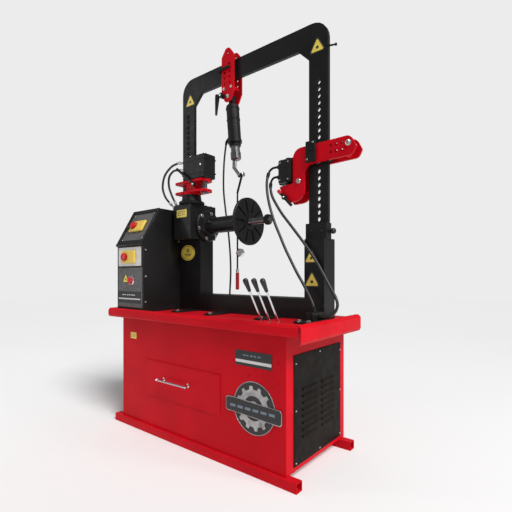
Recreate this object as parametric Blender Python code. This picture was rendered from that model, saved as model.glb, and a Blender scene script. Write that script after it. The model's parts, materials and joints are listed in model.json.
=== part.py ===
"""A hydraulic rim-straightening machine: a steel cabinet with a motor-driven spindle, a drilled
portal frame over it, and three hydraulic cylinders that press a wheel rim back into shape.

Metres, +Z up, X to the right along the front, Y to the rear. Sizes are given in the cabinet's own
frame, whose origin is on the floor under the cabinet's centre line. The empty "machine" then moves
everything so that the origin is at the bottom centre of the machine's own box.
"""

import math

import bmesh
import bpy
from mathutils import Matrix, Vector

for old in list(bpy.data.objects):
    bpy.data.objects.remove(old)

# ---- Driving dimensions ----------------------------------------------------------------------
GAP = 0.0003  # between pieces that touch

SKID = 0.040  # square tube under the cabinet
SKID_HALF_LENGTH = 0.620
SKID_ROWS = {"front_skid_tube": -0.250, "rear_skid_tube": 0.222}

CAB_HALF = 0.5625
CAB_FRONT = -0.256
CAB_REAR = 0.249
CAB_TOP = 0.630
SHEET = 0.003

TRAY_LEFT = -0.663
TRAY_RIGHT = 0.650
TRAY_FRONT = -0.296
TRAY_REAR = 0.255
FLOOR_TOP = 0.6333  # where everything on the tray stands
RIDGE_TOP = 0.647
LIP_BOTTOM = 0.600
FLAP_BOTTOM = 0.572

DRAWER_X = (-0.340, 0.205)
DRAWER_Z = (0.203, 0.388)
VENT_Y = (-0.203, 0.205)
VENT_Z = (0.060, 0.512)

TUBE_Y = (0.005, 0.105)  # the lower frame's square tubes
BEAM_TOP = 0.729
SOCKET_X = (0.485, 0.587)
SOCKET_TOP = 0.997
PEDESTAL_X = (-0.374, -0.200)
PEDESTAL_TOP = 1.040
TUBE_WALL = 0.006
JUNCTION_X = (0.545, 0.585)  # the block on the socket's foot where two hoses end
JUNCTION_FRONT = -0.085
JUNCTION_TOP = 0.675
COLLAR_X = (0.4815, 0.5885)
COLLAR_Y = (0.022, 0.070)
COLLAR_HEIGHT = 0.075
COLLAR_FLANGE = 0.004

PLATE_Y = (0.045, 0.065)  # the portal is one thick plate
LEG_RIGHT_X = (0.485, 0.585)
LEG_LEFT_X = (-0.397, -0.297)
PORTAL_TOP = 2.000
PORTAL_BEAM = 0.105
PORTAL_OUTER_R = 0.085
PORTAL_CHAMFER = 0.060
TONGUE_INSET = 0.010
TONGUE_BOTTOM = 0.800
HOLE_PITCH = 0.0314
HOLE_R = 0.011
HOLES = {"right": (0.535, 1.092, 21), "left": (-0.347, 1.343, 15)}

SPINDLE_Y = 0.055
SPINDLE_Z = 1.118
FLANGE_R = 0.090
FLANGE_X = (-0.200 + GAP, -0.182)
TUBE_R = 0.045
DISC_X = (0.092, 0.122)
DISC_R = 0.125
SCREW_R = 0.018
SCREW_END = 0.262

HEAD_X = (-0.630, -0.377)
HEAD_FRONT = -0.250
HEAD_KNEE_Z = 1.010
HEAD_CROWN_Y = -0.133
HEAD_TOP = 1.215
HEAD_REAR = 0.160

MACHINE_RIGHT = 0.72833  # the end of the right-hand arm
KNOB_FRONT = -0.35605  # the valve levers' knobs reach furthest forward
MACHINE_SHIFT = Vector((-(TRAY_LEFT + MACHINE_RIGHT) / 2, -(KNOB_FRONT + TRAY_REAR) / 2, 0.0))

# ---- Materials -------------------------------------------------------------------------------
COLOURS = {  # name: (colour, roughness, metallic)
    "red_paint": ((0.55, 0.004, 0.012), 0.35, 0.0),
    "black_paint": ((0.012, 0.012, 0.013), 0.40, 0.0),
    "black_panel": ((0.020, 0.020, 0.021), 0.55, 0.0),
    "grey_panel": ((0.22, 0.22, 0.23), 0.45, 0.3),
    "steel": ((0.55, 0.55, 0.56), 0.30, 1.0),
    "chrome": ((0.80, 0.80, 0.82), 0.12, 1.0),
    "black_plastic": ((0.010, 0.010, 0.011), 0.35, 0.0),
    "red_plastic": ((0.60, 0.010, 0.015), 0.30, 0.0),
    "yellow_plastic": ((0.85, 0.62, 0.05), 0.35, 0.0),
    "rubber": ((0.010, 0.010, 0.010), 0.55, 0.0),
    "belt": ((0.015, 0.015, 0.015), 0.80, 0.0),
}


def material(name):
    if name not in bpy.data.materials:
        colour, roughness, metallic = COLOURS[name]
        made = bpy.data.materials.new(name)
        made.use_nodes = True
        shader = made.node_tree.nodes["Principled BSDF"]
        shader.inputs["Base Color"].default_value = (*colour, 1.0)
        shader.inputs["Roughness"].default_value = roughness
        shader.inputs["Metallic"].default_value = metallic
    return bpy.data.materials[name]


# ---- Modelling helpers -----------------------------------------------------------------------
machine = bpy.data.objects.new("machine", None)
machine.location = MACHINE_SHIFT
bpy.context.scene.collection.objects.link(machine)

AXIS_ORDER = {"X": (2, 0, 1), "Y": (0, 2, 1), "Z": (0, 1, 2)}  # (first, second, along) to X, Y, Z


def add(name, bm, finish, origin=(0, 0, 0)):
    """An object from a bmesh in the cabinet's frame, with its own origin on a joint's axis."""
    bmesh.ops.translate(bm, verts=bm.verts, vec=-Vector(origin))
    bmesh.ops.recalc_face_normals(bm, faces=bm.faces)
    mesh = bpy.data.meshes.new(name)
    bm.to_mesh(mesh)
    bm.free()
    obj = bpy.data.objects.new(name, mesh)
    obj.location = origin
    obj.parent = machine
    mesh.materials.append(material(finish))
    mesh.shade_smooth()
    mesh.set_sharp_from_angle(angle=math.radians(35))
    bpy.context.scene.collection.objects.link(obj)
    return obj


def spot(axis, first, second, along):
    """A point from two coordinates across an axis and one along it: X takes (Y, Z), Y takes (X, Z)."""
    if axis == "X":
        return (along, first, second)
    if axis == "Y":
        return (first, along, second)
    return (first, second, along)


def prism(outlines, axis, start, end):
    """Outlines, the first one outside and any others its holes, pushed out along an axis."""
    bm = bmesh.new()
    rims = []
    for outline in outlines:
        rims.append([bm.verts.new(spot(axis, a, b, start)) for a, b in outline])
    edges = [
        bm.edges.new((rim[k - 1], rim[k])) for rim in rims for k in range(len(rim))
    ]
    if len(outlines) == 1:
        bm.faces.new(rims[0])
    else:
        bmesh.ops.triangle_fill(bm, use_beauty=True, use_dissolve=False, edges=edges)
    caps = list(bm.faces)
    pushed = bmesh.ops.extrude_face_region(bm, geom=caps)["geom"]
    step = Vector(spot(axis, 0, 0, end - start))
    bmesh.ops.translate(
        bm, verts=[v for v in pushed if isinstance(v, bmesh.types.BMVert)], vec=step
    )
    bmesh.ops.recalc_face_normals(bm, faces=bm.faces)
    return bm


def block(x, y, z, bevel=0.0):
    """A rectangular block between two corners."""
    bm = prism([[(x[0], y[0]), (x[1], y[0]), (x[1], y[1]), (x[0], y[1])]], "Z", *z)
    if bevel:
        bmesh.ops.bevel(bm, geom=list(bm.edges), offset=bevel, segments=1, affect="EDGES")
    return bm


def ring_points(centre, radius, count, first=0.0, sweep=math.tau):
    """Points round a circle, or along an arc when the sweep is less than a full turn."""
    steps = count if abs(sweep) >= math.tau - 1e-6 else count - 1
    turns = [first + sweep * k / steps for k in range(count)]
    return [(centre[0] + radius * math.cos(t), centre[1] + radius * math.sin(t)) for t in turns]


def rounded(corners, segments=4):
    """An outline from corners (x, y, radius), each turned as an arc."""
    points = []
    count = len(corners)
    for k, (x, y, radius) in enumerate(corners):
        here = Vector((x, y))
        before = (Vector(corners[k - 1][:2]) - here).normalized()
        after = (Vector(corners[(k + 1) % count][:2]) - here).normalized()
        if radius <= 0:
            points.append(here)
            continue
        half = before.angle(after) / 2
        inner = here + (before + after).normalized() * (radius / math.sin(half))
        start = here + before * (radius / math.tan(half)) - inner
        finish = here + after * (radius / math.tan(half)) - inner
        turn = math.copysign(math.pi - 2 * half, start.cross(finish))
        for s in range(segments + 1):
            a = turn * s / segments
            spun = Vector(
                (
                    start.x * math.cos(a) - start.y * math.sin(a),
                    start.x * math.sin(a) + start.y * math.cos(a),
                )
            )
            points.append(inner + spun)
    return [tuple(p) for p in points]


def folded_sheet(path, thickness):
    """The outline of a folded sheet whose middle follows a path of (a, b) points."""
    path = [Vector(p) for p in path]
    sides = ([], [])
    for k, here in enumerate(path):
        runs = []
        if k > 0:
            runs.append((here - path[k - 1]).normalized())
        if k < len(path) - 1:
            runs.append((path[k + 1] - here).normalized())
        normals = [Vector((-r.y, r.x)) for r in runs]
        mean = sum(normals, Vector((0, 0))).normalized()
        reach = thickness / 2 / mean.dot(normals[0])
        sides[0].append(tuple(here + mean * reach))
        sides[1].append(tuple(here - mean * reach))
    return sides[0] + sides[1][::-1]


def turned(profile, sides, place):
    """A piece turned from (radius, along) points; place carries the Z axis to where it lies."""
    bm = bmesh.new()
    rows = []
    for radius, along in profile:
        if radius < 1e-6:
            rows.append([bm.verts.new((0, 0, along))])
        else:
            ring = ring_points((0, 0), radius, sides)
            rows.append([bm.verts.new((a, b, along)) for a, b in ring])
    closed = profile[0][0] > 1e-6
    pairs = list(zip(rows, rows[1:]))
    if closed:
        pairs.append((rows[-1], rows[0]))
    for lower, upper in pairs:
        for k in range(sides):
            n = (k + 1) % sides
            loop = [
                lower[k % len(lower)], lower[n % len(lower)], upper[n % len(upper)],
                upper[k % len(upper)],
            ]
            loop = list(dict.fromkeys(loop))
            if len(loop) > 2:
                bm.faces.new(loop)
    bmesh.ops.transform(bm, matrix=place, verts=bm.verts)
    bmesh.ops.recalc_face_normals(bm, faces=bm.faces)
    return bm


def aim(start, direction):
    """The placement whose Z axis runs from a point in a direction."""
    turn = Vector((0, 0, 1)).rotation_difference(Vector(direction))
    return Matrix.Translation(Vector(start)) @ turn.to_matrix().to_4x4()


def rod(radius, start, end, sides=12):
    """A plain round bar between two points."""
    start, end = Vector(start), Vector(end)
    length = (end - start).length
    profile = [(0, 0), (radius, 0), (radius, length), (0, length)]
    return turned(profile, sides, aim(start, end - start))


def joined(*pieces):
    """Several bmeshes in one, for cutting or welding; they don't touch each other."""
    whole = bmesh.new()
    for piece in pieces:
        mesh = bpy.data.meshes.new("joined")
        piece.to_mesh(mesh)
        piece.free()
        whole.from_mesh(mesh)
        bpy.data.meshes.remove(mesh)
    return whole


def boolean(obj, operation, bm):
    """Cuts a shape from an object, or welds it on, and keeps the shape as a hidden helper."""
    helper = add(f"{obj.name}_{operation.lower()}_{len(obj.modifiers)}", bm, "steel")
    helper.hide_render = True
    helper.display_type = "WIRE"
    step = obj.modifiers.new(operation.title(), "BOOLEAN")
    step.operation = operation
    step.solver = "EXACT"
    step.object = helper
    return obj


def cut(obj, *shapes):
    return boolean(obj, "DIFFERENCE", joined(*shapes))


def weld(obj, *shapes):
    for shape in shapes:
        boolean(obj, "UNION", shape)
    return obj


def hose(name, points, radius, step=0.024):
    """A hose along a smooth curve through its route's points."""
    points = [Vector(p) for p in points]
    ends = [2 * points[0] - points[1], 2 * points[-1] - points[-2]]
    padded = [ends[0], *points, ends[1]]
    fine = []
    for a, b, c, d in zip(padded, padded[1:], padded[2:], padded[3:]):
        for s in range(24):
            t = s / 24
            fine.append(
                0.5
                * (
                    2 * b
                    + (c - a) * t
                    + (2 * a - 5 * b + 4 * c - d) * t**2
                    + (3 * b - a - 3 * c + d) * t**3
                )
            )
    fine.append(points[-1])
    lengths = [0.0]
    for a, b in zip(fine, fine[1:]):
        lengths.append(lengths[-1] + (b - a).length)
    count = max(8, round(lengths[-1] / step))
    even = []
    at = 0
    for k in range(count + 1):
        want = lengths[-1] * k / count
        while at < len(lengths) - 2 and lengths[at + 1] < want:
            at += 1
        share = (want - lengths[at]) / (lengths[at + 1] - lengths[at])
        even.append(fine[at].lerp(fine[at + 1], share))
    curve = bpy.data.curves.new(name, "CURVE")
    curve.dimensions = "3D"
    curve.bevel_depth = radius
    curve.bevel_resolution = 2
    curve.use_fill_caps = True
    curve.twist_mode = "MINIMUM"
    spline = curve.splines.new("POLY")
    spline.points.add(len(even) - 1)
    for point, place in zip(spline.points, even):
        point.co = (*place, 1.0)
    curve.materials.append(material("rubber"))
    obj = bpy.data.objects.new(name, curve)
    obj.parent = machine
    bpy.context.scene.collection.objects.link(obj)
    return obj


# ---- Cabinet, tray and drawer ----------------------------------------------------------------
def build_skids():
    for name, y in SKID_ROWS.items():
        half = SKID / 2
        outside = [(y - half, 0), (y + half, 0), (y + half, SKID), (y - half, SKID)]
        inner = half - SHEET
        inside = [
            (y - inner, SHEET), (y + inner, SHEET), (y + inner, SKID - SHEET),
            (y - inner, SKID - SHEET),
        ]
        add(name, prism([outside, inside], "X", -SKID_HALF_LENGTH, SKID_HALF_LENGTH), "red_paint")


def build_cabinet():
    bottom = SKID + GAP
    shell = add(
        "cabinet_shell",
        block((-CAB_HALF, CAB_HALF), (CAB_FRONT, CAB_REAR), (bottom, CAB_TOP)),
        "red_paint",
    )
    inner = CAB_HALF - SHEET
    cut(
        shell,
        block(
            (-inner, inner), (CAB_FRONT + SHEET, CAB_REAR - SHEET),
            (bottom + SHEET, CAB_TOP + 0.05),
        ),
    )
    slot = 0.012  # the drawer front overlaps its opening by this much
    frame = 0.025  # the vent panel and rear panel overlap theirs by this much
    cut(
        shell,
        block(
            (DRAWER_X[0] + slot, DRAWER_X[1] - slot),
            (CAB_FRONT - 0.02, CAB_FRONT + 0.02),
            (DRAWER_Z[0] + slot, DRAWER_Z[1] - slot),
        ),
        block(
            (CAB_HALF - 0.02, CAB_HALF + 0.02),
            (VENT_Y[0] + frame, VENT_Y[1] - frame),
            (VENT_Z[0] + frame, VENT_Z[1] - frame),
        ),
        block((-0.475, 0.475), (CAB_REAR - 0.02, CAB_REAR + 0.02), (0.125, 0.535)),
    )
    vent = add(
        "vent_panel",
        block((CAB_HALF + GAP, CAB_HALF + 0.0035), VENT_Y, VENT_Z),
        "black_panel",
    )
    louvres = []
    for y in (-0.080, 0.080):
        for k in range(8):
            z = 0.160 + 0.028 * k
            louvres.append(
                block((CAB_HALF - 0.01, CAB_HALF + 0.01), (y - 0.058, y + 0.058), (z, z + 0.010))
            )
    cut(vent, *louvres)
    add(
        "rear_panel",
        block((-0.500, 0.500), (CAB_REAR + GAP, CAB_REAR + 0.0035), (0.100, 0.560)),
        "red_paint",
    )


def build_tray():
    mid = FLOOR_TOP - SHEET / 2
    front = [
        (TRAY_REAR - SHEET / 2, LIP_BOTTOM),
        (TRAY_REAR - SHEET / 2, mid),
        (-0.262, mid),
        (-0.271, RIDGE_TOP - SHEET / 2),
        (-0.284, RIDGE_TOP - SHEET / 2),
        (TRAY_FRONT + SHEET / 2, 0.636),
        (TRAY_FRONT + SHEET / 2, 0.608),
        (-0.288, LIP_BOTTOM),
    ]
    tray = add(
        "tray_top",
        prism([folded_sheet(front, SHEET)], "X", TRAY_LEFT + 0.012, TRAY_RIGHT - 0.012),
        "red_paint",
    )

    def flap(edge, side, bottom):
        """The turned-down end of the tray, lapped under its floor."""
        lap = mid - 0.0012
        ridge = RIDGE_TOP - SHEET / 2
        path = [
            (edge - side * 0.085, lap),
            (edge - side * 0.031, lap),
            (edge - side * 0.023, ridge),
            (edge - side * 0.011, ridge),
            (edge - side * SHEET / 2, 0.634),
            (edge - side * SHEET / 2, bottom + 0.012),
            (edge - side * 0.008, bottom),
        ]
        return prism([folded_sheet(path, SHEET)], "Y", TRAY_FRONT + 0.010, TRAY_REAR - 0.004)

    weld(tray, flap(TRAY_RIGHT, 1, FLAP_BOTTOM), flap(TRAY_LEFT, -1, LIP_BOTTOM))
    slots = [block((x - 0.009, x + 0.009), (-0.256, -0.206), (0.60, 0.70)) for x in LEVER_X]
    cut(tray, *slots)


def build_drawer():
    front = CAB_FRONT - GAP
    drawer = add(
        "drawer",
        block(DRAWER_X, (front - 0.004, front), DRAWER_Z, bevel=0.001),
        "red_paint",
    )
    x = (DRAWER_X[0] + 0.020, DRAWER_X[1] - 0.020)
    y = (front - 0.002, 0.155)
    z = (DRAWER_Z[0] + 0.020, DRAWER_Z[1] - 0.030)
    weld(drawer, block(x, y, z))
    wall = 0.002
    cut(
        drawer,
        block((x[0] + wall, x[1] - wall), (front + wall, y[1] - wall), (z[0] + wall, z[1] + 0.02)),
    )
    # A bar on two posts.
    z_bar = 0.302
    handle = add(
        "drawer_handle", rod(0.005, (-0.211, -0.290, z_bar), (0.014, -0.290, z_bar)), "chrome",
    )
    posts = [
        rod(0.0055, (x_post, -0.290, z_bar), (x_post, front - 0.0043, z_bar), 10)
        for x_post in (-0.190, -0.007)
    ]
    weld(handle, *posts)


# ---- Hydraulic unit in the cabinet, and its levers -------------------------------------------
LEVER_X = (0.4290, 0.4720, 0.5150)
LEVER_NAMES = ("left_valve_lever", "middle_valve_lever", "right_valve_lever")
LEVER_Y = -0.2155
LEVER_PIVOT_Z = 0.606
LEVER_LEAN = math.radians(32)


def build_hydraulics():
    tank = add(
        "oil_tank", block((0.235, 0.515), (-0.060, 0.210), (0.050, 0.330), bevel=0.006),
        "black_paint",
    )
    weld(tank, rod(0.020, (0.470, 0.160, 0.320), (0.470, 0.160, 0.355)))
    motor = [
        (0, 0), (0.062, 0), (0.062, 0.012), (0.055, 0.020), (0.055, 0.170), (0.048, 0.190),
        (0, 0.190),
    ]
    add("pump_motor", turned(motor, 16, aim((0.340, 0.075, 0.330 + GAP), (0, 0, 1))), "grey_panel")
    valve = add(
        "valve_block", block((0.398, 0.546), (-0.250, -0.180), (0.520, 0.590), bevel=0.002),
        "grey_panel",
    )
    ears = [
        block((x + s * 0.011 - 0.002, x + s * 0.011 + 0.002), (-0.226, -0.205), (0.585, 0.616))
        for x in LEVER_X
        for s in (-1, 1)
    ]
    weld(valve, *ears)
    lean = Vector((0, -math.sin(LEVER_LEAN), math.cos(LEVER_LEAN)))
    for name, x in zip(LEVER_NAMES, LEVER_X):
        foot = Vector((x, LEVER_Y, LEVER_PIVOT_Z))
        profile = [
            (0, 0), (0.004, 0), (0.004, 0.195), (0.0075, 0.197), (0.0085, 0.203),
            (0.0110, 0.240), (0.0100, 0.246), (0.0055, 0.250), (0, 0.250),
        ]
        lever = add(name, turned(profile, 10, aim(foot + lean * 0.004, lean)), "chrome", foot)
        weld(lever, rod(0.008, foot - Vector((0.0085, 0, 0)), foot + Vector((0.0085, 0, 0))))


# ---- Lower frame and portal ------------------------------------------------------------------
def square_tube(name, x, y, z, axis, finish="black_paint"):
    ranges = {"X": (y, z, x), "Y": (x, z, y), "Z": (x, y, z)}[axis]
    (a0, a1), (b0, b1), span = ranges
    w = TUBE_WALL
    outside = [(a0, b0), (a1, b0), (a1, b1), (a0, b1)]
    inside = [(a0 + w, b0 + w), (a1 - w, b0 + w), (a1 - w, b1 - w), (a0 + w, b1 - w)]
    return add(name, prism([outside, inside], axis, *span), finish)


def build_lower_frame():
    stand = FLOOR_TOP + GAP
    square_tube(
        "base_beam", (PEDESTAL_X[1] + GAP, SOCKET_X[0] - GAP), TUBE_Y, (stand, BEAM_TOP), "X",
    )
    socket = square_tube("right_socket", SOCKET_X, TUBE_Y, (stand, SOCKET_TOP), "Z")
    weld(
        socket,
        block(JUNCTION_X, (JUNCTION_FRONT, TUBE_Y[0] + TUBE_WALL / 2), (stand, JUNCTION_TOP)),
    )
    square_tube("left_pedestal", PEDESTAL_X, TUBE_Y, (stand, PEDESTAL_TOP), "Z")
    collar = add(
        "right_collar",
        block(COLLAR_X, COLLAR_Y, (SOCKET_TOP + GAP, SOCKET_TOP + COLLAR_HEIGHT)),
        "black_paint",
    )
    weld(collar, block(SOCKET_X, TUBE_Y, (SOCKET_TOP + GAP, SOCKET_TOP + COLLAR_FLANGE)))
    slack = 0.0005
    cut(
        collar,
        block(
            (LEG_RIGHT_X[0] - slack, LEG_RIGHT_X[1] + slack),
            (PLATE_Y[0] - slack, PLATE_Y[1] + slack),
            (SOCKET_TOP - 0.02, SOCKET_TOP + 0.1),
        ),
    )
    profile = [
        (0, 0), (0.006, 0), (
            0.006, 0.006,
        ), (0.011, 0.008), (0.013, 0.013), (0.013, 0.022), (0.010, 0.026), (0, 0.026),
    ]
    knob_at = (COLLAR_X[1] + GAP, sum(PLATE_Y) / 2, SOCKET_TOP + COLLAR_HEIGHT / 2)
    add("collar_lock_knob", turned(profile, 14, aim(knob_at, (1, 0, 0))), "black_plastic", knob_at)


def build_portal():
    left, right = LEG_LEFT_X[0], LEG_RIGHT_X[1]
    inner_left, inner_right = LEG_LEFT_X[1], LEG_RIGHT_X[0]
    under = PORTAL_TOP - PORTAL_BEAM
    shoulder = SOCKET_TOP + 0.0015
    left_shoulder = PEDESTAL_TOP + 0.0015
    c = PORTAL_CHAMFER
    t = TONGUE_INSET
    beside = PEDESTAL_X[0] + 0.0005  # the left leg narrows where it passes the headstock's casing
    notch = HEAD_TOP + 0.0015
    corners = [
        (beside, left_shoulder, 0),
        (beside, notch, 0),
        (left, notch, 0),
        (left, PORTAL_TOP, PORTAL_OUTER_R),
        (right, PORTAL_TOP, PORTAL_OUTER_R),
        (right, shoulder, 0),
        (right - t, shoulder, 0),
        (right - t, TONGUE_BOTTOM, 0),
        (inner_right + t, TONGUE_BOTTOM, 0),
        (inner_right + t, shoulder, 0),
        (inner_right, shoulder, 0),
        (inner_right, under - c, 0),
        (inner_right - c, under, 0),
        (inner_left + c, under, 0),
        (inner_left, under - c, 0),
        (inner_left, left_shoulder, 0),
        (inner_left - t, left_shoulder, 0),
        (inner_left - t, TONGUE_BOTTOM + 0.04, 0),
        (beside + t, TONGUE_BOTTOM + 0.04, 0),
        (beside + t, left_shoulder, 0),
    ]
    holes = []
    for x, z, count in HOLES.values():
        for k in range(count):
            holes.append(ring_points((x, z + HOLE_PITCH * k), HOLE_R, 8, math.pi / 8))
    add("portal_frame", prism([rounded(corners, 6), *holes], "Y", *PLATE_Y), "black_paint")


# ---- Headstock: casing, drive and spindle ----------------------------------------------------
def head_outline(inset):
    """The casing's side view, as (Y, Z) points, moved in by a wall's thickness."""
    slope = Vector((HEAD_CROWN_Y - HEAD_FRONT, HEAD_TOP - HEAD_KNEE_Z)).normalized()
    lean = inset * (1 - slope.x) / slope.y
    return [
        (HEAD_FRONT + inset, FLOOR_TOP + GAP - (0.01 if inset else 0)),
        (HEAD_REAR - inset, FLOOR_TOP + GAP - (0.01 if inset else 0)),
        (HEAD_REAR - inset, HEAD_TOP - inset),
        (HEAD_CROWN_Y + inset * slope.y, HEAD_TOP - inset),
        (HEAD_FRONT + inset, HEAD_KNEE_Z - lean * 0.3),
    ]


INPUT_Y = 0.014  # the gearbox's input shaft, in front of the left leg
MOTOR_AXIS = (-0.030, 0.800)
PULLEY_X = (-0.418, -0.392)
BIG_PULLEY_R = 0.070
SMALL_PULLEY_R = 0.035


def build_casing():
    shell = add("headstock_casing", prism([head_outline(0)], "X", *HEAD_X), "black_paint")
    cut(shell, prism([head_outline(SHEET)], "X", HEAD_X[0] + SHEET, HEAD_X[1] - SHEET))
    cut(
        shell,
        rod(
            0.016, (HEAD_X[1] - 0.02, INPUT_Y, SPINDLE_Z), (HEAD_X[1] + 0.02, INPUT_Y, SPINDLE_Z),
            16,
        ),
    )
    # The sloping panel, on the casing's slanted face.
    slope = Vector((0, HEAD_CROWN_Y - HEAD_FRONT, HEAD_TOP - HEAD_KNEE_Z))
    length = slope.length
    slope.normalize()
    out = Vector((0, -slope.z, slope.y))
    foot = Vector((0, HEAD_FRONT, HEAD_KNEE_Z))

    def on_slope(x, up, lift):
        return Vector((x, 0, 0)) + foot + slope * up + out * lift

    turn = Matrix.Translation(foot) @ Matrix(
        ((1, 0, 0, 0), (0, slope.y, out.y, 0), (0, slope.z, out.z, 0), (0, 0, 0, 1))
    )
    panel = block((HEAD_X[0] + 0.022, HEAD_X[1] - 0.022), (0.022, length - 0.022), (GAP, 0.003))
    bmesh.ops.transform(panel, matrix=turn, verts=panel.verts)
    add("control_panel", panel, "grey_panel")
    plate = block(
        (HEAD_X[0] + 0.015, HEAD_X[1] - 0.015), (HEAD_FRONT - 0.003, HEAD_FRONT + 0.001),
        (0.885, 0.995),
    )
    weld(shell, plate)
    # Two start-stop switches: a square yellow body with a round red button beside it.
    centre_x = (HEAD_X[0] + HEAD_X[1]) / 2
    for name, low, lift in (
        ("upper", on_slope(centre_x, 0.118, 0.003 + GAP), out),
        ("lower", Vector((centre_x, HEAD_FRONT - 0.003 - GAP, 0.938)), Vector((0, -1, 0))),
    ):
        side = Vector((1, 0, 0))
        climb = side.cross(-lift) if name == "upper" else Vector((0, 0, 1))
        place = Matrix.Translation(low) @ Matrix((
            (side.x, climb.x, lift.x, 0),
            (side.y, climb.y, lift.y, 0),
            (side.z, climb.z, lift.z, 0),
            (0, 0, 0, 1),
        ))
        base = block((-0.062, 0.062), (-0.036, 0.036), (0, 0.014), bevel=0.004)
        bmesh.ops.transform(base, matrix=place, verts=base.verts)
        body = add(f"{name}_switch_body", base, "yellow_plastic")
        well = rod(
            0.0235, place @ Vector((-0.026, 0, 0.006)), place @ Vector((-0.026, 0, 0.03)), 16,
        )
        cut(body, well)
        at = place @ Vector((-0.026, 0, 0.0105))
        cap = [
            (0, 0), (0.017, 0), (0.017, 0.008), (0.022, 0.010), (0.022, 0.016), (0.018, 0.019),
            (0, 0.020),
        ]
        add(f"{name}_stop_button", turned(cap, 16, aim(at, lift)), "red_plastic", at)
    # A push button in a metal ring on the casing's front.
    at = Vector((-0.488, HEAD_FRONT - GAP, 0.806))
    ring = [(0.0205, -0.001), (0.027, -0.001), (0.027, 0.006), (0.0225, 0.009), (0.0205, 0.009)]
    weld(shell, turned(ring, 16, aim(at, (0, -1, 0))))
    at = at + Vector((0, -0.0045, 0))
    cap = [(0, 0), (0.0195, 0), (0.0195, 0.010), (0.017, 0.013), (0, 0.0135)]
    add("jog_button", turned(cap, 14, aim(at, (0, -1, 0))), "red_plastic", at)
    # The speed lever, hanging on the casing's right side.
    pivot = Vector((HEAD_X[1] + GAP, -0.010, 1.145))
    lever = add(
        "speed_lever", rod(0.014, pivot, pivot + Vector((0.012, 0, 0)), 14), "grey_panel", pivot,
    )
    arm = block((pivot.x + 0.004, pivot.x + 0.011), (-0.0165, -0.0035), (1.028, 1.146), bevel=0.002)
    weld(lever, arm)


def build_drive():
    y, z = MOTOR_AXIS
    end = PULLEY_X[0] - 0.012
    body = [
        (0, 0.040), (0.0102, 0.040), (0.0102, 0), (0.070, 0), (0.075, 0.008), (0.075, 0.150),
        (0.066, 0.160), (0, 0.160),
    ]
    motor = add("spindle_motor", turned(body, 18, aim((end, y, z), (-1, 0, 0))), "grey_panel")
    # The motor's feet stand on the tray.
    weld(motor, block((-0.570, -0.460), (y - 0.065, y + 0.065), (FLOOR_TOP + GAP, z - 0.050)))
    width = PULLEY_X[1] - PULLEY_X[0]
    small = [
        (0, -0.045), (0.0098, -0.045), (0.0098, 0), (SMALL_PULLEY_R, 0), (SMALL_PULLEY_R, width),
        (0, width),
    ]
    at = (PULLEY_X[0], y, z)
    add("motor_pulley", turned(small, 18, aim(at, (1, 0, 0))), "steel", at)
    big = [
        (0, 0), (BIG_PULLEY_R, 0), (BIG_PULLEY_R, width), (0.0145, width),
        (0.0145, PULLEY_SHAFT_END - PULLEY_X[0]), (0, PULLEY_SHAFT_END - PULLEY_X[0]),
    ]
    at = (PULLEY_X[0], INPUT_Y, SPINDLE_Z)
    add("gearbox_pulley", turned(big, 24, aim(at, (1, 0, 0))), "steel", at)

    def loop(extra):
        """The closed line round both pulleys, at a distance from their rims."""
        centre = Vector((INPUT_Y, SPINDLE_Z))
        low = Vector((y, z))
        along = (centre - low).normalized()
        bearing = math.atan2(along.y, along.x)
        reach = (centre - low).length
        open_angle = math.acos(-(BIG_PULLEY_R - SMALL_PULLEY_R) / reach)
        upper = ring_points(centre, BIG_PULLEY_R + extra, 15, bearing - open_angle, 2 * open_angle)
        rest = math.tau - 2 * open_angle
        lower = ring_points(low, SMALL_PULLEY_R + extra, 11, bearing + open_angle, rest)
        return upper + lower

    add(
        "drive_belt",
        prism([loop(0.0062), loop(0.0012)], "X", PULLEY_X[0] + 0.003, PULLEY_X[1] - 0.003), "belt",
    )


PULLEY_SHAFT_END = -0.310


def build_gearbox():
    plan = [
        (-0.340, -0.070), (-0.200, -0.070), (-0.200, 0.125), (-0.2965, 0.125), (-0.2965, 0.0445),
        (-0.340, 0.0445),
    ]
    housing = add("gearbox_housing", prism([plan], "Z", PEDESTAL_TOP + GAP, 1.235), "black_paint")
    cut(
        housing,
        rod(
            0.0155, (-0.36, INPUT_Y, SPINDLE_Z), (PULLEY_SHAFT_END + 0.004, INPUT_Y, SPINDLE_Z), 20,
        ),
    )
    cut(housing, rod(0.0265, (-0.275, SPINDLE_Y, SPINDLE_Z), (-0.15, SPINDLE_Y, SPINDLE_Z), 24))
    place = aim((FLANGE_X[0], SPINDLE_Y, SPINDLE_Z), (1, 0, 0))
    depth = FLANGE_X[1] - FLANGE_X[0]
    ring = [
        (0.0265, 0), (FLANGE_R, 0), (FLANGE_R, depth - 0.006), (FLANGE_R - 0.006, depth),
        (0.062, depth), (0.056, depth + 0.016), (0.0475, depth + 0.018), (0.0475, depth * 0.5),
        (0.0265, depth * 0.5),
    ]
    add("bearing_flange", turned(ring, 24, place), "black_paint")
    neck = [(0, 0), (0.058, 0), (0.058, 0.025), (0.055, 0.035), (0.052, 0.057), (0, 0.057)]
    weld(housing, turned(neck, 20, aim((*SWIVEL, 1.235 - 0.005), (0, 0, 1))))


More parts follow.
